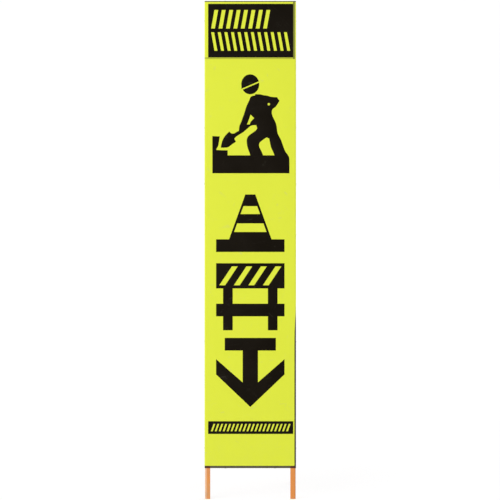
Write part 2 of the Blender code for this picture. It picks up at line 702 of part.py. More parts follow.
def build_stay_bracket(finish, frame):
    """A bent clip on the lower rail: a foot and two ears that hold the stay's pin."""
    front = STAY_PIVOT_DEPTH - EAR_RADIUS
    back = STAY_PIVOT_DEPTH + EAR_RADIUS
    bend = BRACKET_BOTTOM + EAR_THICKNESS / 2
    top = STAY_PIVOT_HEIGHT + EAR_RADIUS
    foot = box_outline(ANGLE_THICKNESS + SEAT_GAP, back, BRACKET_BOTTOM, BRACKET_BOTTOM + EAR_THICKNESS)
    clip = add_piece("stay_bracket", prism(foot, -EAR_OUTER, EAR_OUTER, "YZ"), finish, frame)
    ear = rounded([
        (front, bend, 0),
        (back - EAR_THICKNESS, bend, 0),
        (back - EAR_THICKNESS, top, EAR_CORNER),
        (front, top, EAR_CORNER),
    ])
    for side, word in ((-1, "left"), (1, "right")):
        ends = sorted((side * EAR_INNER, side * EAR_OUTER))
        join_solid(clip, prism(ear, ends[0], ends[1], "YZ"), "stay_ear_" + word)
    hole = circle_outline(STAY_PIVOT_DEPTH, STAY_PIVOT_HEIGHT, STAY_PIN / 2 + SEAT_GAP)
    cut(clip, prism(hole, -2 * EAR_OUTER, 2 * EAR_OUTER, "YZ"), "stay_ear_holes")


def build_stay_pin(finish, frame):
    """The pin through the ears and the stay's eye, with a head at each end."""
    seat = EAR_OUTER + SEAT_GAP
    half = dome(seat, STAY_PIN_HEAD_HEIGHT, STAY_PIN_HEAD) + [(seat, STAY_PIN / 2)]
    profile = [(-x, radius) for x, radius in half] + half[::-1]
    pin = turned(profile, (STAY_PIVOT_DEPTH, STAY_PIVOT_HEIGHT))
    add_piece("stay_pin", pin, finish, frame, smooth=True)


def build_film(name, outline, finish, frame, openings=()):
    """A black film cut to an outline on the sheeting, with openings that show the yellow."""
    raised = [(a, b + FACE_BOTTOM) for a, b in outline]
    film = add_piece(name, prism(raised, FILM_FRONT, FILM_BACK, "XZ"), finish, frame)
    if openings:
        holes = bmesh.new()
        for opening in openings:
            lifted = [(a, b + FACE_BOTTOM) for a, b in opening]
            add_prism(holes, lifted, FILM_FRONT - FILM_THICKNESS, FILM_BACK + FILM_GAP / 2, "XZ")
        cut(film, holes, name + "_openings")


def slanted_bars(count, left, right, gap, low, high, slant):
    """Parallelogram openings that fill a row from left to right, with a gap after each.

    A positive slant moves their upper ends to the right, a negative one their lower ends.
    """
    lower = max(-slant, 0.0)
    upper = max(slant, 0.0)
    pitch = (right - left - abs(slant) + gap) / count
    bars = []
    for index in range(count):
        start = left + pitch * index
        end = start + pitch - gap
        bars.append([(start + lower, low), (end + lower, low), (end + upper, high), (start + upper, high)])
    return bars


def build_top_block(finish, frame):
    """The black block at the top with two rows of slanted yellow bars."""
    left = FILM_LEFT + ROW_MARGIN
    right = FILM_RIGHT - ROW_MARGIN
    top = BLOCK_BOTTOM + TOP_BLOCK_HEIGHT
    high = top - TOP_ROW_DROP
    low = high - ROW_HEIGHT
    openings = slanted_bars(TOP_ROW_BARS, left, left + TOP_ROW_LENGTH, ROW_BAR_GAP, low, high, ROW_SLANT)
    high = low - ROW_SPACING
    low = high - ROW_HEIGHT
    openings += slanted_bars(SECOND_ROW_BARS, left, right, ROW_BAR_GAP, low, high, -ROW_SLANT)
    outline = box_outline(FILM_LEFT, FILM_RIGHT, BLOCK_BOTTOM, top)
    build_film("film_top_block", outline, finish, frame, openings)


def worker_points(points):
    """Points of the worker figure, in metres on the face."""
    return [(WORKER_ACROSS + a * WORKER_UNIT, WORKER_UP + b * WORKER_UNIT) for a, b in points]


def head_part(sense):
    """The head's ellipse above (1) or below (-1) the slanted gap under the helmet's brim.

    The helmet's lower end is drawn out along the gap as its brim.
    """
    tilt = math.radians(BRIM_TILT)
    brim = math.asin((BRIM_GAP / 2 - sense * BRIM_DROP) / HEAD_HALF_HEIGHT)
    points = []
    for step in range(HEAD_POINTS + 1):
        angle = tilt + sense * (brim + (math.pi - 2 * brim) * step / HEAD_POINTS)
        across = HEAD_HALF_WIDTH * math.cos(angle)
        up = HEAD_HALF_HEIGHT * math.sin(angle)
        points.append((HEAD_MIDDLE[0] + across, HEAD_MIDDLE[1] + up))
    if sense > 0:
        start, end = Vector(points[0]), Vector(points[-1])
        points[-1] = tuple(end + (end - start).normalized() * BRIM_REACH)
    return points


def build_worker(finish, frame):
    """The digging figure: body, shovel and ground in one film, helmet and head in two more."""
    dot = circle_outline(SHOULDER_DOT[0], SHOULDER_DOT[1], SHOULDER_DOT_RADIUS)
    openings = [worker_points(ARM_GAP), worker_points(LEG_GAP), worker_points(dot)]
    build_film("film_worker", worker_points(WORKER_OUTLINE), finish, frame, openings)
    build_film("film_helmet", worker_points(head_part(1)), finish, frame)
    build_film("film_head", worker_points(head_part(-1)), finish, frame)


def mirrored(right_side):
    """A symmetric outline from its right half, listed upwards."""
    return right_side + [(-a, b) for a, b in reversed(right_side) if a > 0]


def build_cone(finish, frame):
    """A traffic cone on a broad foot, with two openings for its bands."""
    half = HALF_WIDTH - MARK_MARGIN
    shoulder_half = half - CONE_SHOULDER_INSET
    shoulder = CONE_UP + MARK_BAR
    top = CONE_UP + CONE_HEIGHT
    outline = mirrored([(half, CONE_UP), (half, shoulder), (shoulder_half, shoulder), (CONE_TOP_HALF, top)])
    taper = (shoulder_half - CONE_TOP_HALF) / (top - shoulder)
    bands = []
    for low, high in CONE_BANDS:
        low_half = shoulder_half - taper * low - CONE_BAND_WALL
        high_half = shoulder_half - taper * high - CONE_BAND_WALL
        bands.append(mirrored([(low_half, shoulder + low), (high_half, shoulder + high)]))
    build_film("film_cone", outline, finish, frame, bands)


def build_barrier(finish, frame):
    """A barricade: two boards on two posts, the upper board with slanted openings."""
    half = HALF_WIDTH - MARK_MARGIN
    post_out = half - BARRIER_POST_INSET
    post_in = post_out - BARRIER_POST
    low = BARRIER_UP
    board = low + BARRIER_LOW_BOARD_UP
    board_top = board + MARK_BAR
    high = low + BARRIER_HEIGHT
    upper_board = high - 2 * MARK_BAR
    outline = mirrored([
        (post_in, board), (post_in, low), (post_out, low), (post_out, board), (half, board),
        (half, board_top), (post_out, board_top), (post_out, upper_board), (half, upper_board), (half, high),
    ])
    window = box_outline(-post_in, post_in, board_top, upper_board)
    margin = BARRIER_BAR_MARGIN
    bars = slanted_bars(BARRIER_BARS, margin - half, half - margin, BARRIER_BAR_GAP,
                        upper_board + margin, high - margin, MARK_BAR)
    build_film("film_barrier", outline, finish, frame, [window] + bars)


def build_arrow(finish, frame):
    """A broad arrow that points down, with a bar across its tail."""
    half = HALF_WIDTH - MARK_MARGIN
    stem = MARK_STEM / 2
    tail_half = half - ARROW_TAIL_INSET
    top = ARROW_UP + ARROW_HEIGHT
    tail = top - MARK_BAR
    barb = ARROW_UP + ARROW_HEAD_RISE
    outline = [(0.0, ARROW_UP)] + mirrored([
        (half, barb), (half, barb + ARROW_BARB), (stem, ARROW_UP + ARROW_CROTCH), (stem, tail),
        (tail_half, tail), (tail_half, top),
    ])
    build_film("film_arrow", outline, finish, frame)


def build_lower_strip(finish, frame):
    """The black strip low on the face with a row of small yellow bars."""
    margin = STRIP_BAR_MARGIN
    bars = slanted_bars(STRIP_BARS, FILM_LEFT + margin, FILM_RIGHT - margin, STRIP_BAR_GAP,
                        STRIP_UP + margin, STRIP_TOP - margin, margin)
    outline = box_outline(FILM_LEFT, FILM_RIGHT, STRIP_UP, STRIP_TOP)
    build_film("film_lower_strip", outline, finish, frame, bars)


def main():
    """Build the whole sign, opened and standing."""
    clear_scene()
    finishes = make_materials()
    orange = finishes["orange_enamel"]
    black = finishes["black_film"]

    frame = link("face_frame", None, None)
    frame.rotation_euler = (-LEAN_ANGLE, 0.0, 0.0)
    frame.location = (0.0, -REACH / 2, 0.0)
    stand = link("stand_pivot", None, frame)
    stand.location = (0.0, HINGE_DEPTH, HINGE_HEIGHT)
    stand.rotation_euler = (OPEN_ANGLE, 0.0, 0.0)
    stay = link("stay_pivot", None, frame)
    stay.location = (0.0, STAY_PIVOT_DEPTH, STAY_PIVOT_HEIGHT)

    build_face_panel(finishes["panel_paint"], frame)
    build_sheeting(finishes["yellow_sheeting"], frame)
    build_top_block(black, frame)
    build_worker(black, frame)
    build_cone(black, frame)
    build_barrier(black, frame)
    build_arrow(black, frame)
    build_lower_strip(black, frame)
    for side, word in ((-1, "left"), (1, "right")):
        build_upright(side, "upright_" + word, orange, frame)
        build_stand_leg(side, "stand_leg_" + word, orange, stand)
        build_hinge_hardware(side, word, finishes["zinc"], frame)
    build_rail("top_rail", FRAME_TOP, False, orange, frame, rivet_across())
    build_rail("upper_rail", UPPER_RAIL_AT, False, orange, frame)
    build_rail("middle_rail", MIDDLE_RAIL_AT, False, orange, frame)
    build_rail("lower_rail", LOWER_RAIL_AT, False, orange, frame)
    build_rail("bottom_rail", BOTTOM_RAIL_AT, True, orange, frame, rivet_across())
    build_rivets(finishes["rivet_metal"], frame)
    build_crossbar("stand_crossbar_upper", UPPER_CROSSBAR_DROP, orange, stand)
    build_crossbar("stand_crossbar_lower", LOWER_CROSSBAR_DROP, orange, stand)
    build_stay(finishes["zinc"], stay)
    build_stay_bracket(orange, frame)
    build_stay_pin(finishes["zinc"], frame)


main()
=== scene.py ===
"""Looks of the slim folding road-works sign, laid out as an add-on and run as a script.

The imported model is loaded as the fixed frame. Each operator makes one piece or one group of like
pieces: surfaces worked out with numpy in the piece's own frame, then placed, and finished with
procedural materials. Sizes come from the nodes that the pieces stand for. Lengths are metres.
"""

import functools
import json
import math

import bmesh
import bpy
import numpy as np
from bpy.props import FloatProperty, FloatVectorProperty, PointerProperty
from mathutils import Matrix, Vector


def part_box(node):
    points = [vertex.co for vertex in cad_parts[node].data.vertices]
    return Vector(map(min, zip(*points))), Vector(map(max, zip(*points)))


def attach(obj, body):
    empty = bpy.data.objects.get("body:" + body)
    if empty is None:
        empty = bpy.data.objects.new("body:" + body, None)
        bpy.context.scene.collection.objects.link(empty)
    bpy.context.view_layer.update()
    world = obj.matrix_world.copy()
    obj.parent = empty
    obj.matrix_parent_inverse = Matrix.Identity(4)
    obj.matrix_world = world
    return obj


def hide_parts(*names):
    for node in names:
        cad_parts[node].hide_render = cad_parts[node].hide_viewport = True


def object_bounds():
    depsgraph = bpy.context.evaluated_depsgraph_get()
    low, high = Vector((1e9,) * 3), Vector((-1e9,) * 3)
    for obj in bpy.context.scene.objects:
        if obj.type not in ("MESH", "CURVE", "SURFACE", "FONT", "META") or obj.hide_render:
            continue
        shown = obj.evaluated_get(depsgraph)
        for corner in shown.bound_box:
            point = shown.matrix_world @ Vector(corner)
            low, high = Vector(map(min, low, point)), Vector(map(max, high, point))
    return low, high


bl_info = {
    "name": "Slim Road-Works Sign",
    "version": (1, 0, 0),
    "blender": (4, 5, 0),
    "location": "3D View > Sidebar > Road Sign",
    "description": "Dresses the packed road sign with sheeting, films, enamel, hardware and a studio",
    "category": "Object",
}

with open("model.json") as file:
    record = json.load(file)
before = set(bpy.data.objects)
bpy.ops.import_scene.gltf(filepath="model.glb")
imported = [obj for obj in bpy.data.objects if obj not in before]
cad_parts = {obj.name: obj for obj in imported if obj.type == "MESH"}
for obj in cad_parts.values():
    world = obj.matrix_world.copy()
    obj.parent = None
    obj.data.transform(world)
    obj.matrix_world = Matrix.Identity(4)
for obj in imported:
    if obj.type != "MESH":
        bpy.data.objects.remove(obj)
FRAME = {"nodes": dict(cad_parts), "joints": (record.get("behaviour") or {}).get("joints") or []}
CAD_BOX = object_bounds()
SIDES = ((-1, "left"), (1, "right"))
FILMS = ("top_block", "worker", "helmet", "head", "cone", "barrier", "arrow", "lower_strip")
RAILS = ("top", "upper", "middle", "lower", "bottom")
CROSSBARS = ("upper", "lower")
ACROSS = (1.0, 0.0, 0.0)
WHITE = (1.0, 1.0, 1.0, 1.0)

# Frames of the face, the stand and the stay, as matrices from each one's own frame to the world
LEAN = math.radians(8.0)
JOINT_PLACES = {joint["name"]: Vector(joint["pos_m"]) for joint in FRAME["joints"]}
FACE = Matrix.Translation((0.0, CAD_BOX[0].y, 0.0)) @ Matrix.Rotation(-LEAN, 4, "X")
STAND = Matrix.Translation(JOINT_PLACES["stand_fold"]) @ Matrix.Rotation(LEAN, 4, "X")
STAY = Matrix.Translation(JOINT_PLACES["stay_swing"]) @ Matrix.Rotation(-LEAN, 4, "X")
PLACES = {"sign": FACE, "stand": STAND, "stay": STAY}

# Sheet and film sizes that no node's box gives
FOLD_RADIUS = 0.0015
FACE_BOTTOM = 0.100
SHEETING_LIFT = 0.0002
SHEETING_WRAP = 0.0014
SHEETING_CORNER = 0.002
FILM_BEVEL = 0.00005

# Steel angle, bar and bracket sizes
ANGLE_THICKNESS = 0.002
ANGLE_OUTER_RADIUS = 0.004
ANGLE_INNER_RADIUS = 0.0015
EYE_HALF_THICKNESS = 0.00225
EYE_BLEND = 0.0022
EAR_CORNER = 0.006
BRACKET_BEND = 0.0022
BRACKET_EDGE_ROUND = 0.0002

# Rivet, bolt and nut sizes
RIVET_HEAD_RADIUS = 0.0030
RIVET_HEAD_HEIGHT = 0.0009
RIVET_SHANK_RADIUS = 0.0016
RIVET_TAIL_RADIUS = 0.0022
RIVET_TAIL_HEIGHT = 0.0022
BOLT_RADIUS = 0.0025
BOLT_HOLE_RADIUS = 0.0028
BOLT_HEAD_RADIUS = 0.0045
BOLT_HEAD_HEIGHT = 0.0020
THREAD_START = 0.0061
THREAD_DEPTH = 0.00030
NUT_ACROSS_FLATS = 0.0080

# Stay sizes: its pin, the gap in its eye and hook, the hook's bend and tip, and how far the eye closes
PIN_RADIUS = 0.003
STAY_GAP = 0.0003
STAY_BEND = 0.0045
STAY_TIP = 0.0135
STAY_EYE_TURN = math.radians(255)

# Weld sizes: how far a bead stops short of a rail's edge, how deep its line lies in the flange, how
# far it stands off a bar and falls short of a leg, and its share of the full width on thin parts
WELD_INSET = 0.0008
WELD_DEPTH = 0.0004
WELD_OFF_BAR = 0.0005
WELD_OFF_LEG = 0.0006
BAR_WELD_SHARE = 0.85
BRACKET_WELD_SHARE = 0.75

# Studio sizes
FLOOR_RADIUS = 26.0
FLOOR_DROP = 0.0002
LAMP_AIM = Vector((0.0, 0.0, 0.75))


def mesh_points(mesh):
    """A mesh's vertices as an array of three columns."""
    points = np.empty(len(mesh.vertices) * 3)
    mesh.vertices.foreach_get("co", points)
    return points.reshape(-1, 3)


def moved(points, matrix):
    """Points turned and shifted by a matrix: the rotation times each point, plus the translation."""
    turn = np.array(matrix.to_3x3())
    return np.asarray(points) @ turn.T + np.array(matrix.to_translation())


def node_box(node, place):
    """Lowest and highest corner of a CAD node, measured in the frame whose matrix is given."""
    points = moved(mesh_points(FRAME["nodes"][node].data), place.inverted())
    return points.min(axis=0), points.max(axis=0)


def node_middle(node, place):
    """Middle of a CAD node's box, measured in the frame whose matrix is given."""
    low, high = node_box(node, place)
    return (low + high) / 2


# Sizes read from the nodes
UPRIGHT_LOW, UPRIGHT_HIGH = node_box("upright_right", FACE)
FLANGE_EDGE = float(UPRIGHT_LOW[0])
FRAME_OUTER = float(UPRIGHT_HIGH[0])
STAND_X = float(node_middle("stand_leg_right", STAND)[0])
BAR_RADIUS = float(node_box("stand_crossbar_lower", STAND)[1][1])


def smooth_step(value, low, high):
    """0 below low, 1 above high, and three squares less two cubes of the share between them."""
    share = np.clip((np.asarray(value, float) - low) / (high - low), 0.0, 1.0)
    return share * share * (3.0 - 2.0 * share)


def full_turn(steps):
    """Evenly spaced angles once round a circle."""
    return np.arange(steps) * math.tau / steps


def unit(vectors):
    """Vectors over their own lengths."""
    return vectors / np.linalg.norm(vectors, axis=-1, keepdims=True)


def points_of(x, y, z):
    """Points from their three coordinates, each an array or one number, spread to a common shape."""
    return np.stack(np.broadcast_arrays(x, y, z), axis=-1)


def grid_faces(rows, columns, ring_rows):
    """Quads between neighbours on a grid whose rows are closed rings, numbered row by row."""
    steps = rows if ring_rows else rows - 1
    row, column = np.meshgrid(np.arange(steps), np.arange(columns), indexing="ij")
    next_row = (row + 1) % rows
    next_column = (column + 1) % columns
    corners = (row * columns + column, row * columns + next_column,
               next_row * columns + next_column, next_row * columns + column)
    return np.stack(corners, axis=-1).reshape(-1, 4).tolist()


def ring_shell(points, ring_rows=False):
    """A surface given as (row, column) points, its rows closed rings and its ends flat faces.

    With ring_rows the last row joins the first instead, as on a washer.
    """
    rows, columns, _ = points.shape
    faces = grid_faces(rows, columns, ring_rows)
    if not ring_rows:
        faces.append(list(range(columns)))
        faces.append(list(range((rows - 1) * columns, rows * columns)))
    return points.reshape(-1, 3), faces


def joined(shells):
    """Several (points, faces) shells as one."""
    points, faces, count = [], [], 0
    for shell_points, shell_faces in shells:
        points.append(shell_points)
        faces += [[index + count for index in face] for face in shell_faces]
        count += len(shell_points)
    return np.concatenate(points), faces


def rounded_outline(corners, steps=8):
    """A closed outline through (a, b, radius) corners.

    Each corner with a radius becomes an arc that touches both of its sides: its centre lies on the
    corner's bisector, at the radius over the sine of half the corner's angle.
    """
    points = []
    count = len(corners)
    for index, (a, b, radius) in enumerate(corners):
        here = Vector((a, b))
        if radius <= 0:
            points.append(np.array([[a, b]]))
            continue
        before = (Vector(corners[index - 1][:2]) - here).normalized()
        after = (Vector(corners[(index + 1) % count][:2]) - here).normalized()
        half = before.angle(after) / 2
        middle = here + (before + after).normalized() * radius / math.sin(half)
        first = here + before * radius / math.tan(half) - middle
        last = here + after * radius / math.tan(half) - middle
        start = math.atan2(first.y, first.x)
        turn = math.remainder(math.atan2(last.y, last.x) - start, math.tau)
        points.append(arc_points(middle, radius, start, turn, steps + 1))
    return np.concatenate(points)


def arc_points(middle, radius, start, turn, count):
    """Points on an arc about a middle, from the start angle through the turn."""
    angle = start + turn * np.linspace(0.0, 1.0, count)
    return np.asarray(middle) + radius * np.stack([np.cos(angle), np.sin(angle)], axis=-1)


def quarter_dome(flat, rim, start, rise):
    """A dome's profile from its flat middle out to its rim, as (distance, radius).

    It is a quarter ellipse: the distance leaves the start by the rise times one less the turn's
    cosine, and the radius grows from the flat's to the rim's with the turn's sine.
    """
    turn = np.linspace(0.0, math.pi / 2, 9)
    return np.column_stack([start + rise * (1 - np.cos(turn)), flat + (rim - flat) * np.sin(turn)])


def turned_shell(profile, steps, ring=False, radius_rule=None):
    """A profile of (distance along x, radius) turned about the x axis.

    radius_rule gives the radius from the profile's distance and radius and the turn, where the
    shape is not round, such as a hexagon or a thread. A ring's profile is closed.
    """
    along = np.asarray(profile, float)[:, :1]
    radius = np.asarray(profile, float)[:, 1:]
    turn = full_turn(steps)[None, :]
    spread = radius if radius_rule is None else radius_rule(along, radius, turn)
    return ring_shell(points_of(along, spread * np.cos(turn), spread * np.sin(turn)), ring_rows=ring)


def tube_shell(path, side, radius, steps, closed=False):
    """A round tube along a path: at each point, a circle across the path's own direction.

    side is a direction that is never along the path. The circle's axes are the part of side that
    is square to the path, and the direction square to both.
    """
    if closed:
        ahead = np.roll(path, -1, axis=0) - np.roll(path, 1, axis=0)
    else:
        ahead = np.gradient(path, axis=0)
    ahead = unit(ahead)
    first = unit(side - ahead * np.sum(side * ahead, axis=1, keepdims=True))
    second = np.cross(ahead, first)
    turn = full_turn(steps)[None, :, None]
    ring = first[:, None] * np.cos(turn) + second[:, None] * np.sin(turn)
    return ring_shell(path[:, None] + ring * radius[:, None, None], ring_rows=closed)


def weld_bead(path, side, width, closed=False, pitch=0.0018):
    """A weld bead: a tube whose radius swells and falls once a pitch, like the scales of a weld.

    An open bead also tapers to nothing in a quarter ellipse over its own width at each end.
    """
    steps = np.linalg.norm(np.diff(path, axis=0), axis=1)
    run = np.concatenate([[0.0], np.cumsum(steps)])
    length = run[-1] + (np.linalg.norm(path[0] - path[-1]) if closed else 0.0)
    waves = max(round(length / pitch), 1)
    radius = width / 2 * (1.0 + 0.13 * np.sin(math.tau * waves * run / length))
    if not closed:
        from_end = np.minimum(run, length - run) / width
        radius = radius * np.sqrt(1.0 - (1.0 - np.clip(from_end, 0.0, 1.0)) ** 2 + 1e-4)
    return tube_shell(path, np.array(side), radius, steps=12, closed=closed)


def tidy_mesh(mesh):
    """Merge a mesh's doubles, turn its faces outwards and shade it smooth between sharp edges."""
    bm = bmesh.new()
    bm.from_mesh(mesh)
    bmesh.ops.remove_doubles(bm, verts=bm.verts, dist=2e-6)
    bmesh.ops.dissolve_degenerate(bm, edges=bm.edges, dist=1e-7)
    bmesh.ops.recalc_face_normals(bm, faces=bm.faces)
    bm.to_mesh(mesh)
    bm.free()
    mesh.shade_smooth()
    mesh.set_sharp_from_angle(angle=math.radians(35))


def shell_mesh(name, shell, place):
    """A closed shell as a tidy mesh in its place."""
    points, faces = shell
    mesh = bpy.data.meshes.new(name)
    mesh.from_pydata(moved(points, place), [], faces)
    tidy_mesh(mesh)
    return mesh


def linked(name, data):
    """A new object in the scene."""
    item = bpy.data.objects.new(name, data)
    bpy.context.scene.collection.objects.link(item)
    return item


def settled_mesh(item):
    """An object's mesh as its curve or modifiers leave it."""
    return bpy.data.meshes.new_from_object(item.evaluated_get(bpy.context.evaluated_depsgraph_get()))


def round_edges(piece, width):
    """A live bevel along the piece's sharp edges."""
    bevel = piece.modifiers.new("rounded_edges", "BEVEL")
    bevel.width = width
    bevel.segments = 2
    bevel.limit_method = "ANGLE"
    bevel.angle_limit = math.radians(40)
    bevel.harden_normals = True


class Board:
    """A node tree with short ways to place nodes, fill their inputs and wire them."""

    def __init__(self, tree):
        self.tree = tree

    def place(self, kind, inputs=None, **settings):
        """A new node with its settings, and its inputs set to values or wired to sockets."""
        node = self.tree.nodes.new(kind)
        for key, value in settings.items():
            setattr(node, key, value)
        for key, value in (inputs or {}).items():
            self.feed(node.inputs[key], value)
        return node

    def feed(self, socket, value):
        """Set a socket to a value, or wire another node's output to it."""
        if isinstance(value, bpy.types.NodeSocket):
            self.tree.links.new(value, socket)
        else:
            socket.default_value = value

    def shade(self, inputs):
        """Feed the tree's Principled shader and give its output."""
        shader = self.tree.nodes["Principled BSDF"]
        for key, value in inputs.items():
            self.feed(shader.inputs[key], value)
        return shader.outputs[0]

    def calc(self, operation, *values, clamp=False):
        """A Math node's result."""
        node = self.place("ShaderNodeMath", dict(enumerate(values)), operation=operation, use_clamp=clamp)
        return node.outputs[0]

    total = functools.partialmethod(calc, "ADD")
    less = functools.partialmethod(calc, "SUBTRACT")
    product = functools.partialmethod(calc, "MULTIPLY")
    quotient = functools.partialmethod(calc, "DIVIDE")
    greatest = functools.partialmethod(calc, "MAXIMUM")
    absolute = functools.partialmethod(calc, "ABSOLUTE")

    def measure(self, operation, *vectors):
        """A Vector Math node's number, such as a length."""
        node = self.place("ShaderNodeVectorMath", dict(enumerate(vectors)), operation=operation)
        return node.outputs["Value"]

    def between(self, value, low, high, start=0.0, end=1.0):
        """A value's place from low to high, as a smooth mask from start to end."""
        inputs = {"Value": value, "From Min": low, "From Max": high, "To Min": start, "To Max": end}
        return self.place("ShaderNodeMapRange", inputs, interpolation_type="SMOOTHSTEP").outputs["Result"]

    def mixed(self, share, first, second):
        """Two colours mixed by a share, each a socket or three channels."""
        ends = [end if isinstance(end, bpy.types.NodeSocket) else (*end, 1.0) for end in (first, second)]
        return self.place("ShaderNodeMix", {0: share, 6: ends[0], 7: ends[1]}, data_type="RGBA").outputs[2]

    def noise(self, vector, scale, detail=2.0, roughness=0.5):
        """A noise texture's value."""
        inputs = {"Vector": vector, "Scale": scale, "Detail": detail, "Roughness": roughness}
        return self.place("ShaderNodeTexNoise", inputs).outputs["Fac"]

    def axes(self, vector):
        """A vector's x, y and z."""
        return self.place("ShaderNodeSeparateXYZ", {0: vector}).outputs

    def mapped(self, vector, **changes):
        """A vector after a Mapping node with the given Location, Rotation or Scale."""
        return self.place("ShaderNodeMapping", {"Vector": vector, **changes}).outputs[0]


def label_of(key):
    """The words of a node group's socket, from a keyword."""
    return key.replace("_", " ").title()


def node_group(name, *outputs, **inputs):
    """Turn a function that wires a board into one that places the named node group on a board.

    The group has a Vector input, a number for each of the inputs with its default, and the named
    outputs. It is made once, by the decorated function, which takes the group's own board and its
    inputs' sockets in order, and gives its one output's socket or a tuple of them.
    """
    def make(wire):
        tree = bpy.data.node_groups.new(name, "ShaderNodeTree")
        tree.interface.new_socket(name="Vector", in_out="INPUT", socket_type="NodeSocketVector")
        for key, default in inputs.items():
            socket = tree.interface.new_socket(
                name=label_of(key), in_out="INPUT", socket_type="NodeSocketFloat")
            socket.default_value = default
        for label in outputs:
            tree.interface.new_socket(name=label, in_out="OUTPUT", socket_type="NodeSocketFloat")
        board = Board(tree)
        given = board.place("NodeGroupInput").outputs
        found = wire(board, *given[:len(inputs) + 1])
        board.place("NodeGroupOutput", dict(enumerate(found if len(outputs) > 1 else [found])))
        return tree

    def decorate(wire):
        @functools.wraps(wire)
        def placed(board, vector, **values):
            tree = bpy.data.node_groups.get(name) or make(wire)
            fed = {"Vector": vector, **{label_of(key): value for key, value in values.items()}}
            sockets = list(board.place("ShaderNodeGroup", fed, node_tree=tree).outputs)
            return sockets if len(outputs) > 1 else sockets[0]
        return placed
    return decorate


@node_group("Coat Grain", "Height", "Tone", grain_size=0.001, specks=0.2)
def coat_grain(board, vector, grain_size, specks):
    """Height of a coat's fine grain, an orange peel with finer specks, and a slow change of tone."""
    scale = board.quotient(1.0, grain_size)
    peel = board.noise(vector, scale, detail=1.0)
    speck = board.between(board.noise(vector, board.product(scale, 3.7), detail=3.0), 0.66, 0.74)
    height = board.total(peel, board.product(speck, specks))
    return height, board.noise(vector, 9.0, detail=3.0)


@node_group("Edge Wear", "Mask", reach=0.0012, amount=0.5)
def edge_wear(board, vector, reach, amount):
    """Mask of worn edges: where a wide bevel's normal leaves the face's own and a noise runs high."""
    soft = board.place("ShaderNodeBevel", {"Radius": reach}, samples=4).outputs["Normal"]
    plain = board.place("ShaderNodeNewGeometry").outputs["True Normal"]
    alike = board.measure("DOT_PRODUCT", soft, plain)
    edge = board.between(board.less(1.0, alike), 0.008, 0.060)
    broken = board.noise(vector, 130.0, detail=6.0, roughness=0.72)
    near = board.product(edge, board.product(amount, 0.45))
    chips = board.less(board.total(broken, near), 0.72)
    return board.product(board.between(edge, 0.05, 0.3), board.between(chips, 0.0, 0.03), clamp=True)


@node_group("Road Dust", "Mask", reach=0.15, amount=0.5)
def road_dust(board, vector, reach, amount):
    """Mask of road dust: thickest at the ground, thinning with height, and clouded by noise."""
    _, _, height = board.axes(vector)
    fall = board.between(board.quotient(height, reach), 0.0, 1.0, 1.0, 0.0)
    cloud = board.between(board.noise(vector, 38.0, detail=6.0, roughness=0.62), 0.30, 0.75)
    return board.product(board.product(fall, cloud), amount, clamp=True)


@node_group("Fine Scratches", "Mask", spacing=0.02, amount=0.3)
def fine_scratches(board, vector, spacing, amount):
    """Mask of fine scratches: noise drawn out along three directions and cut to thin lines, in patches.

    The noise is laid flat on each surface. Its two distances are x and z, with y in place of x where
    the surface faces sideways, and in place of z where it faces up or down.
    """
    x, y, z = board.axes(vector)
    facing_x, _, facing_z = board.axes(board.place("ShaderNodeTexCoord").outputs["Normal"])
    flat = []
    for distance, facing in ((x, facing_x), (z, facing_z)):
        turned_off = board.between(board.absolute(facing), 0.70, 0.72)
        flat.append(board.calc("MULTIPLY_ADD", turned_off, board.less(y, distance), distance))
    flat = board.place("ShaderNodeCombineXYZ", dict(enumerate(flat))).outputs[0]
    scale = board.quotient(1.0, spacing)
    found = []
    for angle in (0.35, -0.8, 1.4):
        turned = board.mapped(flat, Rotation=(0.0, 0.0, angle))
        drawn = board.noise(board.mapped(turned, Scale=(1.0, 0.03, 1.0)), scale, detail=1.0)
        line = board.between(board.absolute(board.less(drawn, 0.5)), 0.0, 0.012, 1.0, 0.0)
        patch = board.between(board.noise(turned, 31.0), 0.58, 0.68)
        found.append(board.product(line, patch))
    return board.product(functools.reduce(board.greatest, found), amount, clamp=True)


@node_group("Prismatic Cells", "Lines", "Facets", cell=0.006, line=0.0005)
def prismatic_cells(board, vector, cell, line):
    """Prismatic cells: two crossed sets of seal lines, and a tone for each cell's facets."""
    x, _, z = board.axes(vector)
    lines, facets = [], []
    for operation in ("ADD", "SUBTRACT"):
        run = board.calc(operation, x, board.product(z, 0.62))
        share = board.calc("FRACT", board.quotient(run, cell))
        off = board.absolute(board.less(share, 0.5))
        distance = board.product(board.less(0.5, off), cell)
        lines.append(board.between(distance, 0.0, line, 1.0, 0.0))
        facets.append(board.calc("FRACT", board.product(share, 8.0)))
    return functools.reduce(board.greatest, lines), functools.reduce(board.product, facets)


def object_place(board):
    """Object coordinates, which are the world's at rest."""
    return board.place("ShaderNodeTexCoord").outputs["Object"]


def face_place(board):
    """Object coordinates turned into the face's frame: x across, y backwards and z up along the face."""
    shift = -(Matrix.Rotation(LEAN, 3, "X") @ FACE.to_translation())
    return board.mapped(object_place(board), Location=shift, Rotation=(LEAN, 0.0, 0.0))


def tinted(colour, *factors, lift=0.0):
    """A colour's channels, each times the one factor or its own and raised by a lift, up to 1."""
    return [min(channel * factor + lift, 1.0) for channel, factor in zip(colour, factors * 3)]


def block_dark_band(board, place, soft=0.0010, reach=0.0045):
    """Mask of a dark band beside and below the top block: a grown block's corner less a shrunk one's."""
    x, _, z = board.axes(place)
    low, high = node_box("film_top_block", FACE)
    shrunk, grown = (
        board.product(board.between(x, high[0] + off, high[0] + off + soft, 1.0, 0.0),
                      board.between(z, low[2] - off - soft, low[2] - off))
        for off in (-soft, reach))
    depth = board.between(x, high[0] - soft, high[0] + soft, 0.40, 0.80)
    return board.product(board.less(grown, shrunk), depth)


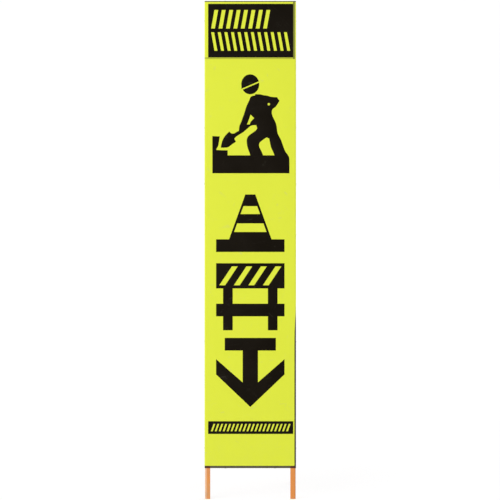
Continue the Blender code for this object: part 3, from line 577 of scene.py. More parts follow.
def reflective_sheeting(board):
    """Fluorescent prismatic sheeting: pale seal lines between diamond cells under a clear top film.

    A dark band is painted beside and below the top block, deeper beside it than below it.
    """
    settings = bpy.context.scene.road_sign_face
    plain = settings.sheeting_colour
    deep = tinted(plain, 0.955)
    place = face_place(board)
    lines, facets = prismatic_cells(board, place, cell=settings.cell_size, line=0.0004)
    colour = board.mixed(board.product(lines, 0.8), plain, tinted(plain, 1.03, lift=0.012))
    colour = board.mixed(board.product(facets, 0.7), colour, deep)
    cloud = board.between(board.noise(place, 6.0, detail=4.0), 0.35, 0.8)
    colour = board.mixed(board.product(cloud, 0.10), colour, deep)
    dust = road_dust(board, place, reach=0.42, amount=0.05)
    scratch = fine_scratches(board, place, spacing=0.016, amount=0.22)
    colour = board.mixed(board.greatest(dust, scratch), colour, (0.56, 0.56, 0.30))
    waves = board.product(board.noise(place, 7.0, detail=1.0), 2.2)
    return {
        # The dark band beside and below the top block is painted into the colour here
        "Base Color": board.mixed(block_dark_band(board, place), colour, (0.045, 0.040, 0.020)),
        "Roughness": board.total(0.42, board.product(facets, 0.15)),
        "Specular IOR Level": 0.25,
        "Coat Weight": 0.12,
        "Coat Roughness": 0.20,
    }, board.total(waves, board.product(lines, 0.05)), 0.0007


def black_film(board):
    """Satin black cut film: a little grain, faint scratches and a breath of dust."""
    plain = bpy.context.scene.road_sign_face.film_colour
    place = face_place(board)
    grain, tone = coat_grain(board, place, grain_size=0.0008, specks=0.3)
    colour = board.mixed(board.between(tone, 0.35, 0.75), plain, tinted(plain, 1.35, lift=0.002))
    scratch = fine_scratches(board, place, spacing=0.013, amount=0.10)
    dust = road_dust(board, place, reach=0.42, amount=0.05)
    return {
        "Base Color": board.mixed(board.greatest(dust, scratch), colour, (0.16, 0.15, 0.12)),
        "Roughness": board.between(tone, 0.2, 0.8, 0.46, 0.58),
        "Specular IOR Level": 0.04,
    }, grain, 0.00003


def panel_coat(board, start=0.0003, end=0.0005):
    """Dark grey-olive coat outside the folded panel and a plain grey wash coat inside it.

    One gives way to the other inside the sheet, from start to end behind its outer skin. Painted shade:
    the bare lip takes the deep brown of the legs in shadow where they pass behind it, and the outer folds
    are darkened like folds in shade.
    """
    plain = bpy.context.scene.road_sign_face.panel_colour
    place = face_place(board)
    x, y, z = board.axes(place)
    aside = board.absolute(x)
    low, high = node_box("face_panel", FACE)
    inside = functools.reduce(board.product, (
        board.between(y, low[1] + start, low[1] + end),
        board.between(aside, high[0] - end, high[0] - start, 1.0, 0.0),
        board.between(z, low[2] + start, low[2] + end),
        board.between(z, high[2] - end, high[2] - start, 1.0, 0.0),
    ))
    grain, tone = coat_grain(board, place, grain_size=0.0012, specks=0.2)
    shade = board.between(tone, 0.3, 0.75)
    outer = board.mixed(shade, plain, tinted(plain, 0.82))
    # Painted shade: the bare lip takes the deep brown of the legs in the panel's shadow where they pass
    # behind it
    painted_leg_shade = board.between(aside, FLANGE_EDGE - 0.0006, FLANGE_EDGE + 0.0006)
    on_lip = board.between(z, FACE_BOTTOM + 0.0010, FACE_BOTTOM + 0.0020, 1.0, 0.0)
    outer = board.mixed(board.product(painted_leg_shade, on_lip), outer, (0.075, 0.012, 0.006))
    # Painted shade: the outer folds and side returns are darkened to the deep olive of a fold in shade,
    # and made fully rough there
    painted_fold_shade = board.between(aside, high[0] - 0.0040, high[0] - 0.0034)
    outer = board.mixed(painted_fold_shade, outer, tinted(plain, 0.26, 0.25, 0.07))
    inner = board.mixed(shade, (0.36, 0.37, 0.36), (0.30, 0.31, 0.30))
    colour = board.mixed(inside, outer, inner)
    worn = edge_wear(board, place, reach=0.0005, amount=0.30)
    colour = board.mixed(worn, colour, (0.30, 0.30, 0.29))
    dust = road_dust(board, place, reach=0.5, amount=0.07)
    waves = board.product(board.noise(place, 8.0, detail=1.0), 3.0)
    return {
        "Base Color": board.mixed(dust, colour, (0.31, 0.27, 0.21)),
        "Roughness": board.greatest(board.between(tone, 0.2, 0.8, 0.44, 0.60), painted_fold_shade),
        "Specular IOR Level": 0.20,
    }, board.total(waves, board.product(grain, 0.08)), 0.0005


def orange_enamel(board):
    """Baked orange enamel on steel: orange peel, chips along the edges down to rust, dust at the feet.

    A painted highlight lightens the left upright's front outer corner, and more dust lies on the left.
    """
    settings = bpy.context.scene.road_sign_frame
    plain = settings.enamel_colour
    place = object_place(board)
    x, y, _ = board.axes(face_place(board))
    grain, tone = coat_grain(board, place, grain_size=0.0011, specks=0.35)
    colour = board.mixed(board.between(tone, 0.32, 0.72), plain, tinted(plain, 0.93, 0.86, 0.80))
    scratch = fine_scratches(board, place, spacing=0.010, amount=0.35)
    colour = board.mixed(scratch, colour, (0.86, 0.55, 0.32))
    # Painted highlight: a pale stripe along the left upright's front outer corner
    corner = board.between(x, 0.0045 - FRAME_OUTER, 0.0065 - FRAME_OUTER, 0.50, 0.0)
    front = board.between(y, 0.0035, 0.0050, 1.0, 0.0)
    colour = board.mixed(board.product(corner, front), colour, (0.92, 0.66, 0.45))
    worn = edge_wear(board, place, reach=0.0016, amount=settings.edge_wear)
    rust = board.between(board.noise(place, 320.0, detail=4.0), 0.40, 0.62)
    bare = board.mixed(rust, (0.30, 0.28, 0.27), (0.16, 0.060, 0.026))
    colour = board.mixed(worn, colour, bare)
    dust = road_dust(board, place, reach=0.16, amount=settings.dust)
    dust = board.product(dust, board.between(x, -0.06, 0.06, 1.0, 0.2))
    sheen = board.between(tone, 0.2, 0.8, 0.30, 0.40)
    return {
        "Base Color": board.mixed(dust, colour, (0.40, 0.31, 0.22)),
        "Roughness": board.greatest(sheen, board.product(board.greatest(worn, dust), 0.75)),
        "Specular IOR Level": 0.35,
        "Coat Weight": 0.90,
        "Coat Roughness": 0.26,
    }, board.less(grain, board.product(worn, 1.6)), 0.00006


def metal(board, bright, dull, roughness, grain_size):
    """A bare or plated metal: two tones in soft clouds, fine grain, and wear that brightens its edges."""
    place = object_place(board)
    cloud = board.noise(place, 160.0, detail=5.0, roughness=0.65)
    colour = board.mixed(board.between(cloud, 0.30, 0.70), bright, dull)
    worn = edge_wear(board, place, reach=0.0006, amount=0.6)
    grain, _ = coat_grain(board, place, grain_size=grain_size, specks=0.3)
    return {
        "Base Color": board.mixed(worn, colour, tinted(bright, 1.15)),
        "Metallic": 1.0,
        "Roughness": board.between(cloud, 0.2, 0.8, roughness, roughness + 0.16),
    }, grain, 0.00003


def nylon(board):
    """The pale blue nylon ring of a lock nut, slightly clouded."""
    cloud = board.between(board.noise(object_place(board), 420.0, detail=3.0), 0.3, 0.7)
    return {
        "Base Color": board.mixed(cloud, (0.20, 0.34, 0.52), (0.28, 0.42, 0.58)),
        "Roughness": board.between(cloud, 0.0, 1.0, 0.42, 0.55),
    }, cloud, 0.00003


bright_zinc = functools.partial(
    metal, bright=(0.66, 0.66, 0.65), dull=(0.47, 0.49, 0.52), roughness=0.26, grain_size=0.0007)
plain_aluminium = functools.partial(
    metal, bright=(0.74, 0.74, 0.74), dull=(0.60, 0.60, 0.61), roughness=0.34, grain_size=0.0005)

# Each maker gives the shader's inputs, and the height and depth of its bump
FINISHES = {
    "panel_paint": ("Panel Coat", panel_coat),
    "yellow_sheeting": ("Reflective Sheeting", reflective_sheeting),
    "black_film": ("Black Film", black_film),
    "orange_enamel": ("Orange Enamel", orange_enamel),
    "zinc": ("Zinc Plate", bright_zinc),
    "rivet_metal": ("Rivet Metal", plain_aluminium),
    "nylon": ("Nylon Ring", nylon),
}


def new_material(name):
    """A new material and its board."""
    material = bpy.data.materials.new(name)
    material.use_nodes = True
    return material, Board(material.node_tree)


def finish_of(key):
    """The material that FINISHES names, made once."""
    name, maker = FINISHES[key]
    material = bpy.data.materials.get(name)
    if material is None:
        material, board = new_material(name)
        inputs, height, distance = maker(board)
        bump = board.place("ShaderNodeBump", {"Height": height, "Distance": distance, "Strength": 1.0})
        board.shade({**inputs, "Normal": bump.outputs[0]})
    return material


def add_piece(name, mesh, body, slot, nodes=(), finish=None):
    """A mesh as a piece that rides on a body, fills a slot and stands for CAD nodes.

    It takes its slot's finish unless another is named.
    """
    piece = linked(name, mesh)
    mesh.materials.append(finish_of(finish or slot))
    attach(piece, body)
    if nodes:
        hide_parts(*nodes)
    return piece


def add_shell(name, shell, body, slot, nodes=(), finish=None):
    """A closed shell, given in its body's frame, as a piece."""
    return add_piece(name, shell_mesh(name, shell, PLACES[body]), body, slot, nodes, finish)


def folded_strip(along, lift, flat_half, front):
    """Points that lie on the panel's face and turn round its side folds.

    along is a distance from the middle, measured on the panel's skin. Up to flat_half the point
    lies on the flat front. Past it, the point turns about the fold's centre, by the rest of the
    distance over the fold's radius. lift is how far it stands off the skin.
    """
    turn = np.clip(np.abs(along) - flat_half, 0.0, None) / FOLD_RADIUS
    radius = FOLD_RADIUS + lift
    across = np.sign(along) * (np.minimum(np.abs(along), flat_half) + radius * np.sin(turn))
    return across, front + FOLD_RADIUS - radius * np.cos(turn)


def sheeting_shell(top_margin, thickness, recede):
    """The sheeting as a thin sheet over the panel's front and part way round its side folds.

    Its right edge draws back smoothly below the middle of the face, where the panel's dark fold shows with
    painted shade on it, and its corners are rounded by the circle's rule.
    """
    low, high = node_box("face_panel", FACE)
    flat_half = high[0] - FOLD_RADIUS
    height = high[2] - top_margin - FACE_BOTTOM
    near = np.concatenate([np.linspace(0.0, SHEETING_CORNER, 9), [0.004, 0.008, 0.02, 0.05]])
    up = np.concatenate([near, np.linspace(0.09, height - 0.09, 40), height - near[::-1]])
    inset = np.clip(SHEETING_CORNER - np.minimum(up, height - up), 0.0, SHEETING_CORNER)
    curve = SHEETING_CORNER - np.sqrt(SHEETING_CORNER**2 - inset**2)
    up = FACE_BOTTOM + up
    full = flat_half + SHEETING_WRAP - curve
    width = 2 * full - recede * smooth_step(0.60 - up, 0.0, 0.12)
    share = 0.5 - 0.5 * np.cos(np.linspace(0.0, math.pi, 41))
    along = width[:, None] * share - full[:, None]
    sheets = []
    for lift in (SHEETING_LIFT + thickness, SHEETING_LIFT):
        across, depth = folded_strip(along, lift, flat_half, low[1])
        sheets.append(points_of(across, depth, up[:, None]))
    return ring_shell(np.concatenate([sheets[0], sheets[1][:, ::-1]], axis=1))


def film_loops(node):
    """The closed outlines of a film's front, read from its CAD node, as lists of (x, z) points.

    They are the edges of its front triangles that no neighbour runs along the other way.
    """
    mesh = FRAME["nodes"][node].data
    mesh.calc_loop_triangles()
    corners = np.empty(len(mesh.loop_triangles) * 3, np.int64)
    mesh.loop_triangles.foreach_get("vertices", corners)
    points = np.round(moved(mesh_points(mesh), FACE.inverted()), 6)
    points, same = np.unique(points, axis=0, return_inverse=True)
    corners = same.reshape(-1)[corners].reshape(-1, 3)
    front = corners[(np.abs(points[corners][:, :, 1] - points[:, 1].min()) < 2e-5).all(axis=1)]
    edges = np.concatenate([front[:, [0, 1]], front[:, [1, 2]], front[:, [2, 0]]]).tolist()
    shared = {(second, first) for first, second in edges}
    following = {first: second for first, second in edges if (first, second) not in shared}
    loops = []
    while following:
        first, here = following.popitem()
        loop = [first]
        while here != first:
            loop.append(here)
            here = following.pop(here)
        loops.append(points[loop][:, [0, 2]])
    return loops


def turn_angles(loop):
    """How sharply a closed outline turns at each of its points."""
    before = loop - np.roll(loop, 1, axis=0)
    after = np.roll(loop, -1, axis=0) - loop
    cross = before[:, 0] * after[:, 1] - before[:, 1] * after[:, 0]
    return np.abs(np.arctan2(cross, np.sum(before * after, axis=1)))


def eased(loop, sharp=math.radians(46), longest=0.006, rounds=3):
    """Corner cutting where an outline turns gently.

    Each gentle point gives way to two, a quarter of the way along its sides or less where a side
    is long. Sharper corners stay where they are.
    """
    loop = loop[turn_angles(loop) > 0.004]
    for _ in range(rounds):
        gentle = turn_angles(loop) < sharp
        parts = []
        for other in (np.roll(loop, 1, axis=0), np.roll(loop, -1, axis=0)):
            way = other - loop
            length = np.linalg.norm(way, axis=1, keepdims=True)
            parts.append(loop + way * np.minimum(0.25, longest / length) * gentle[:, None])
        both = np.stack(parts, axis=1).reshape(-1, 2)
        keep = np.ones(len(both), bool)
        keep[1::2] = gentle
        loop = both[keep]
    return loop


def film_mesh(name, loops, front, thickness):
    """A film as a filled flat curve with a little thickness, made a mesh and stood on the face."""
    curve = bpy.data.curves.new(name, "CURVE")
    curve.dimensions = "2D"
    curve.fill_mode = "BOTH"
    curve.extrude = thickness / 2 - FILM_BEVEL
    curve.bevel_depth = FILM_BEVEL
    curve.bevel_resolution = 1
    curve.offset = -FILM_BEVEL
    for loop in loops:
        spline = curve.splines.new("POLY")
        spline.points.add(len(loop) - 1)
        knots = np.column_stack([loop, np.zeros(len(loop)), np.ones(len(loop))])
        spline.points.foreach_set("co", knots.ravel())
        spline.use_cyclic_u = True
    flat = linked(name, curve)
    mesh = settled_mesh(flat)
    bpy.data.objects.remove(flat)
    across, up, out = mesh_points(mesh).T
    stood = moved(points_of(across, front + thickness / 2 - out, up), FACE)
    mesh.vertices.foreach_set("co", stood.ravel())
    mesh.name = name
    mesh.materials.clear()
    tidy_mesh(mesh)
    return mesh


def straight_shell(outline, start, end, slope=0.0):
    """A closed (a, b) outline carried straight up from start to end; slope tilts its start with b."""
    low = np.column_stack([outline, start + slope * outline[:, 1]])
    high = np.column_stack([outline, np.full(len(outline), end)])
    return ring_shell(np.stack([low, high]))


def angle_outline(heel, edge, depth, outer_radius, inner_radius):
    """The section of a steel angle: a front flange from its heel to edge, and one back to depth."""
    inner = heel + math.copysign(ANGLE_THICKNESS, edge - heel)
    return rounded_outline([
        (heel, 0.0, outer_radius),
        (heel, depth, 0),
        (inner, depth, 0),
        (inner, ANGLE_THICKNESS, inner_radius),
        (edge, ANGLE_THICKNESS, 0),
        (edge, 0.0, 0),
    ])


def bar_end(turn):
    """How far a crossbar reaches to meet a leg of the same radius, at each turn about its own axis.

    The leg's surface lies its radius times the sine of the turn short of the leg's middle.
    """
    return STAND_X - BAR_RADIUS * np.abs(np.sin(turn))


def leg_shell(side, length):
    """A rear leg: a round bar whose top is pressed flat into a round eye.

    Each section is a superellipse. Its half width follows the bar, then the eye's circle, its half
    thickness falls from the bar's radius to the eye's, and its power rises from 2 to 5. The
    sections crowd at the foot, over the pressed part and round the eye.
    """
    eye_radius = node_box("stand_leg_right", STAND)[1][2]
    foot = [length, length - 0.0006, length - 0.02]
    straight = -np.array([*foot, 0.75 * length, 0.5 * length, 0.25 * length, 0.06])
    pressed = np.linspace(-0.034, -0.0075, 22)
    eye = -eye_radius * np.cos(np.linspace(0.0, math.pi, 33)[1:])
    up = np.concatenate([straight, pressed, eye])
    bar_width = BAR_RADIUS * np.where(up < -length + 0.0003, 0.90, 1.0)
    eye_width = np.sqrt(np.clip(eye_radius**2 - up**2, 0.0, None))
    blend = np.clip(0.5 + 0.5 * (eye_width - bar_width) / EYE_BLEND, 0.0, 1.0)
    union = bar_width * (1 - blend) + eye_width * blend + EYE_BLEND * blend * (1 - blend) / 2
    half_width = np.where(up < 0, union, eye_width)
    flat = smooth_step(up, -0.026, -0.009)
    half_thickness = bar_width * (1 - flat) + EYE_HALF_THICKNESS * flat
    power = (2.0 / (2.0 + 3.0 * flat))[:, None]
    turn = full_turn(32)
    across, depth = (half[:, None] * np.sign(wave) * np.abs(wave) ** power
                     for half, wave in ((half_thickness, np.cos(turn)), (half_width, np.sin(turn))))
    sloped = (up < -length + 0.001)[:, None]
    height = up[:, None] - sloped * depth * math.tan(LEAN)
    return ring_shell(points_of(side * STAND_X + across, depth, height))


def bored_mesh(name, shell, radius, place):
    """A shell as a mesh with a round hole along x through the frame's origin."""
    drill = linked("drill", shell_mesh("drill", turned_shell([(-0.2, radius), (0.2, radius)], 40), place))
    part = linked("bored", shell_mesh("blank", shell, place))
    cut = part.modifiers.new("hole", "BOOLEAN")
    cut.operation = "DIFFERENCE"
    cut.solver = "EXACT"
    cut.object = drill
    mesh = settled_mesh(part)
    for item in (part, drill):
        bpy.data.objects.remove(item)
    mesh.name = name
    tidy_mesh(mesh)
    return mesh


def crossbar_shell(height, overlap=0.0004):
    """A crossbar whose ends are coped to the legs and reach a little way into them."""
    turn = full_turn(32)
    along = (bar_end(turn) + overlap) * np.linspace(-1.0, 1.0, 9)[:, None]
    return ring_shell(points_of(along, BAR_RADIUS * np.cos(turn), height + BAR_RADIUS * np.sin(turn)))


def rivet_profile(length):
    """A blind rivet from its head's mandrel pit to its tail's stub, as (distance inwards, radius)."""
    pit = [(0.0006, 0.0), (0.0006, 0.0006), (0.0001, 0.00075)]
    head = quarter_dome(0.0010, RIVET_HEAD_RADIUS, 0.00002, RIVET_HEAD_HEIGHT * 0.86)
    rim = [(RIVET_HEAD_HEIGHT, RIVET_HEAD_RADIUS * 0.985), (RIVET_HEAD_HEIGHT, RIVET_SHANK_RADIUS)]
    seat = length - RIVET_TAIL_HEIGHT
    rise = RIVET_TAIL_HEIGHT - 0.0006
    tail = quarter_dome(0.0008, RIVET_TAIL_RADIUS, seat + 0.0002 + rise, -rise)[::-1]
    stub = [(length, 0.00075), (length, 0.0)]
    return np.concatenate([pit, head, rim, [(seat, RIVET_SHANK_RADIUS)], tail, stub])


def ring_section(start, end, inner, outer, edge):
    """The rounded rectangle that a washer or spacer is turned from, as (distance, radius)."""
    corners = ((start, inner), (end, inner), (end, outer), (start, outer))
    return rounded_outline([(*corner, edge) for corner in corners], 3)


def hexagon_radius(turn, across_flats):
    """Distance from a hexagon's middle to its side: half its width over the cosine from the flat."""
    off_flat = (turn + math.pi / 6) % (math.pi / 3) - math.pi / 6
    return across_flats / 2 / np.cos(off_flat)


def bolt_radius(along, radius, turn, thread_end, pitch):
    """The bolt's radius rule: a hexagon in the socket and a helical thread near the end.

    The thread's depth at a point is a triangle wave of its distance over the pitch less its turn.
    """
    phase = (along / pitch - turn / math.tau) % 1.0
    groove = THREAD_DEPTH * np.abs(2.0 * phase - 1.0)
    groove = groove * smooth_step(along, THREAD_START, THREAD_START + pitch)
    groove = groove * (1.0 - smooth_step(along, thread_end, thread_end + 0.0002))
    threaded = (along > THREAD_START) * (radius > 0.0020)
    socket = (along < 0.0015) * (radius < 0.0017) * (radius > 0.0)
    return np.where(socket, hexagon_radius(turn, 1.8 * radius), radius - groove * threaded)


def bolt_shell(length, pitch):
    """The bolt, turned from its socket's floor to its chamfered end."""
    socket = [(0.0013, 0.0), (0.0013, 0.0014), (0.0002, 0.0014), (0.00005, 0.0016)]
    dome = quarter_dome(0.0021, BOLT_HEAD_RADIUS, 0.00002, BOLT_HEAD_HEIGHT - 0.0005)
    rim = [(BOLT_HEAD_HEIGHT - 0.0001, BOLT_HEAD_RADIUS), (BOLT_HEAD_HEIGHT, BOLT_HEAD_RADIUS - 0.0001),
           (BOLT_HEAD_HEIGHT, BOLT_RADIUS)]
    thread = np.arange(BOLT_HEAD_HEIGHT + 0.004, length - 0.0004, pitch / 8)
    shank = np.column_stack([thread, np.full_like(thread, BOLT_RADIUS)])
    end = [(length, BOLT_RADIUS - 0.0005), (length, 0.0)]
    rule = functools.partial(bolt_radius, thread_end=length - 0.0008, pitch=pitch)
    return turned_shell(np.concatenate([socket, dome, rim, shank, end]), 36, radius_rule=rule)


def nut_shell(start, height):
    """A lock nut: a hexagon cut down by a turned envelope, with a round collar over its nylon ring.

    Every point's radius is the lesser of the hexagon's and the envelope's.
    """
    bore_radius = BOLT_RADIUS + 0.00005
    hexagon_end = start + height * 0.68
    end = start + height
    profile = [
        (start, bore_radius + 0.0004), (start, 0.0036), (start + 0.0002, 0.0040), (start + 0.0006, 0.0047),
        (hexagon_end - 0.0005, 0.0047), (hexagon_end - 0.0001, 0.0041), (hexagon_end, 0.0038),
        (hexagon_end + 0.0002, 0.00372), (end - 0.0005, 0.00365), (end - 0.0001, 0.0034),
        (end, 0.0031), (end - 0.0002, 0.0028), (end - 0.0010, 0.0028),
        (end - 0.0012, bore_radius), (start + 0.0004, bore_radius),
    ]

    def rule(along, radius, turn):
        on_hexagon = (radius > 0.0035) * (along < hexagon_end + 1e-6)
        return np.where(on_hexagon, np.minimum(radius, hexagon_radius(turn, NUT_ACROSS_FLATS)), radius)

    return turned_shell(profile, 72, ring=True, radius_rule=rule)


def inward_span(node, outside):
    """Where a hinge's node starts and ends along its bolt, as distances from the bolt's outer end."""
    low, high = node_box(node, FACE)
    return sorted(outside - abs(reach) for reach in (low[0], high[0]))


def stay_path(rod_radius):
    """The stay's line in its own frame, as (back, up): an eye, a straight shank and a hook.

    The shank is the upper common tangent of the circles round the pin and round the crossbar, and
    the tip hangs straight down behind the crossbar.
    """
    low, high = (Vector(corner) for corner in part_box("stand_crossbar_lower"))
    bar = (STAY.inverted() @ ((low + high) / 2)).yz
    eye_radius = PIN_RADIUS + STAY_GAP + rod_radius
    hook_radius = BAR_RADIUS + STAY_GAP + rod_radius
    ahead = bar.normalized()
    square = Vector((-ahead.y, ahead.x))
    sine = (hook_radius - eye_radius) / bar.length
    normal = square * math.sqrt(1 - sine * sine) - ahead * sine
    along = Vector((normal.y, -normal.x))
    down = Vector((math.sin(LEAN), -math.cos(LEAN)))
    bend = along.angle(down)
    corner = bar + (normal + along * math.tan(bend / 2)) * hook_radius
    bend_middle = corner + (bar - corner) * STAY_BEND / hook_radius
    facing = math.atan2(normal.y, normal.x)
    eye = arc_points((0.0, 0.0), eye_radius, facing + STAY_EYE_TURN, -STAY_EYE_TURN, 60)
    hook = arc_points(bend_middle, STAY_BEND, facing, -bend, 24)
    shank = eye[-1] + (hook[0] - eye[-1]) * np.linspace(0.0, 1.0, 14)[1:-1, None]
    end = hook[-1] + np.array(down) * STAY_TIP * np.linspace(0.0, 1.0, 5)[1:, None]
    return np.concatenate([eye, shank, hook, end])


def with_round_ends(path, radius, blunt=0.55):
    """A path with a few more points at each end, and the radius that rounds a rod off there.

    The radius falls as the square root of one less the square of the share of the end's length.
    """
    share = np.linspace(0.0, 1.0, 6)[1:]
    fall = radius * np.sqrt(1.0 - share**2 * 0.96)
    reach = (share * radius * blunt)[:, None]
    first = path[0] + unit(path[0] - path[1]) * reach[::-1]
    last = path[-1] + unit(path[-1] - path[-2]) * reach
    radii = np.concatenate([fall[::-1], np.full(len(path), radius), fall])
    return np.concatenate([first, path, last]), radii


def pin_profile(half):
    """The stay's pin with a domed head at each end, as (distance from its middle, radius)."""
    dome = quarter_dome(0.0018, 0.0050, half - 0.0002, -0.0013)
    one = np.concatenate([[(half, 0.0), (half, 0.0014)], dome,
                          [(half - 0.0019, 0.0049), (half - 0.0020, PIN_RADIUS)]])
    return np.concatenate([one, (one * (-1.0, 1.0))[::-1]])


def bracket_shell():
    """The stay's bracket: a strip bent up into two ears.

    Its centreline runs down one ear, round a bend, across the foot and up the other ear. The
    strip's front edge steps forward at the foot, and the ears' upper corners are rounded.
    """
    low, high = node_box("stay_bracket", FACE)
    half = ANGLE_THICKNESS / 2
    ear = high[0] - half
    foot = low[2] + half
    line = rounded_outline([
        (-ear, high[2], 0), (-ear, foot, BRACKET_BEND), (ear, foot, BRACKET_BEND), (ear, high[2], 0)], 10)
    rise = np.linspace(0.0, 1.0, 14)[1:-1, None]
    left = line[0] + (line[1] - line[0]) * rise
    right = line[-2] + (line[-1] - line[-2]) * rise
    line = np.concatenate([line[:1], left, line[1:-1], right, line[-1:]])
    ahead = unit(np.gradient(line, axis=0))
    normal = np.column_stack([-ahead[:, 1], ahead[:, 0]])
    inset = np.clip(line[:, 1] - (high[2] - EAR_CORNER), 0.0, EAR_CORNER)
    curve = EAR_CORNER - np.sqrt(EAR_CORNER**2 - inset**2)
    ear_front = 2 * float((FACE.inverted() @ JOINT_PLACES["stay_swing"]).y) - high[1]
    front = np.where(line[:, 1] < low[2] + ANGLE_THICKNESS, low[1], ear_front) + curve
    back = high[1] - curve
    ring = []
    for off, edge in ((half, front), (half, back), (-half, back), (-half, front)):
        side = line + normal * off
        ring.append(points_of(side[:, 0], edge, side[:, 1]))
    return ring_shell(np.stack(ring, axis=1))


def seen_rays(board):
    """1 for the rays that show the background, from the camera, gloss and glass, and 0 for others."""
    rays = board.place("ShaderNodeLightPath").outputs
    kinds = (rays[f"Is {kind} Ray"] for kind in ("Camera", "Glossy", "Transmission"))
    return functools.reduce(board.greatest, kinds)


def floor_material():
    """A white floor that keeps the object's shadow.

    The camera and reflections see less of its own colour and a glow instead, which grows past the
    reach of the lamps, so that it is just white everywhere.
    """
    material, board = new_material("Studio Floor")
    seen = seen_rays(board)
    own = board.shade({
        "Base Color": board.mixed(seen, (0.79, 0.79, 0.79), (0.26, 0.26, 0.26)),
        "Roughness": 0.9,
        "Specular IOR Level": 0.1,
    })
    away = board.measure("LENGTH", object_place(board))
    strength = board.product(seen, board.between(away, 3.0, 7.0, 0.77, 0.86))
    glow = board.place("ShaderNodeEmission", {"Color": WHITE, "Strength": strength})
    both = board.place("ShaderNodeAddShader", {0: own, 1: glow.outputs[0]})
    board.feed(board.tree.nodes["Material Output"].inputs["Surface"], both.outputs[0])
    return material


def studio_world(ambient):
    """Even light from all sides, and plain white where a ray shows the background."""
    world = bpy.data.worlds.new("Studio")
    world.use_nodes = True
    board = Board(world.node_tree)
    background = world.node_tree.nodes["Background"]
    background.inputs["Color"].default_value = WHITE
    strength = board.total(ambient, board.product(seen_rays(board), 1.0 - ambient))
    board.feed(background.inputs["Strength"], strength)
    return world


def direction(around, rise):
    """The way out from the sign's front, turned about the vertical and raised."""
    level = math.cos(rise)
    return Vector((math.sin(around) * level, -math.cos(around) * level, math.sin(rise)))


def aimed(name, data, aim, out, distance):
    """An object that stands off from a point by a distance along a direction, and looks back at it."""
    item = linked(name, data)
    item.location = aim + out * distance
    item.rotation_euler = (-out).to_track_quat("-Z", "Y").to_euler()
    return item


class RoadSignFace(bpy.types.PropertyGroup):
    """Sizes and colours of the face."""

    sheeting_colour: FloatVectorProperty(
        name="Sheeting Colour", description="Colour of the reflective sheeting", subtype="COLOR",
        default=(0.790, 0.862, 0.042), min=0.0, max=1.0)
    film_colour: FloatVectorProperty(
        name="Film Colour", description="Colour of the cut film", subtype="COLOR",
        default=(0.0062, 0.0042, 0.0020), min=0.0, max=1.0)
    panel_colour: FloatVectorProperty(
        name="Panel Colour", description="Colour of the coat outside the folded panel", subtype="COLOR",
        default=(0.092, 0.080, 0.048), min=0.0, max=1.0)
    cell_size: FloatProperty(
        name="Cell Size", description="Spacing of the sheeting's seal lines", unit="LENGTH",
        default=0.006, min=0.002, max=0.02)
    sheeting_thickness: FloatProperty(
        name="Sheeting Thickness", description="Thickness of the reflective sheeting", unit="LENGTH",
        default=0.0005, min=0.0001, max=0.001)
    film_thickness: FloatProperty(
        name="Film Thickness", description="Thickness of the cut film", unit="LENGTH",
        default=0.0002, min=0.0001, max=0.0005)
    top_margin: FloatProperty(
        name="Top Margin", description="Height of the panel's edge that shows above the sheeting",
        unit="LENGTH", default=0.0026, min=0.0, max=0.01)
    edge_recede: FloatProperty(
        name="Edge Recede", description="How far the sheeting's lower right edge draws back",
        unit="LENGTH", default=0.0044, min=0.0, max=0.01)


class RoadSignFrame(bpy.types.PropertyGroup):
    """Sizes and colours of the frame, the stand and their hardware."""

    enamel_colour: FloatVectorProperty(
        name="Enamel Colour", description="Colour of the baked enamel on the frame and stand",
        subtype="COLOR", default=(0.855, 0.298, 0.034), min=0.0, max=1.0)
    edge_wear: FloatProperty(
        name="Edge Wear", description="Share of the enamel's edges that is chipped", subtype="FACTOR",
        default=0.45, min=0.0, max=1.0)
    dust: FloatProperty(
        name="Dust", description="How much road dust lies on the feet", subtype="FACTOR",
        default=0.50, min=0.0, max=1.0)
    edge_round: FloatProperty(
        name="Edge Rounding", description="Rounding of the steel's cut edges", unit="LENGTH",
        default=0.0004, min=0.0001, max=0.0009)
    bead_width: FloatProperty(
        name="Bead Width", description="Width of the weld beads", unit="LENGTH",
        default=0.0034, min=0.001, max=0.006)
    thread_pitch: FloatProperty(
        name="Thread Pitch", description="Distance between the turns of the hinge bolts' threads",
        unit="LENGTH", default=0.0008, min=0.0004, max=0.002)


class RoadSignStage(bpy.types.PropertyGroup):
    """Camera and light."""

    camera_distance: FloatProperty(
        name="Camera Distance", description="From the camera to the middle of the face",
        unit="LENGTH", default=15.0, min=3.0, max=40.0)
    frame_width: FloatProperty(
        name="Frame Width", description="Width of the picture at the face", unit="LENGTH",
        default=1.506, min=0.5, max=5.0)
    ambient: FloatProperty(
        name="Ambient", description="Strength of the even light from all sides",
        default=0.50, min=0.0, max=2.0)
    key: FloatProperty(
        name="Key", description="Brightness of the soft box in front", default=4.2, min=0.0, max=20.0)
    rear: FloatProperty(
        name="Rear", description="Brightness of the soft box behind", default=2.6, min=0.0, max=20.0)


class ROADSIGN_OT_panel(bpy.types.Operator):
    """Coat the folded face panel"""

    bl_idname = "road_sign.panel"
    bl_label = "Face Panel"

    def execute(self, context):
        panel = FRAME["nodes"]["face_panel"]
        finish = finish_of("panel_paint")
        if not panel.material_slots:
            panel.data.materials.append(finish)
        for holder in panel.material_slots:
            holder.material = finish
        return {"FINISHED"}


class ROADSIGN_OT_sheeting(bpy.types.Operator):
    """Lay the reflective sheeting over the panel"""

    bl_idname = "road_sign.sheeting"
    bl_label = "Reflective Sheeting"

    def execute(self, context):
        settings = context.scene.road_sign_face
        shell = sheeting_shell(settings.top_margin, settings.sheeting_thickness, settings.edge_recede)
        add_shell("Reflective_sheeting", shell, "sign", "yellow_sheeting", ["reflective_sheet"])
        return {"FINISHED"}


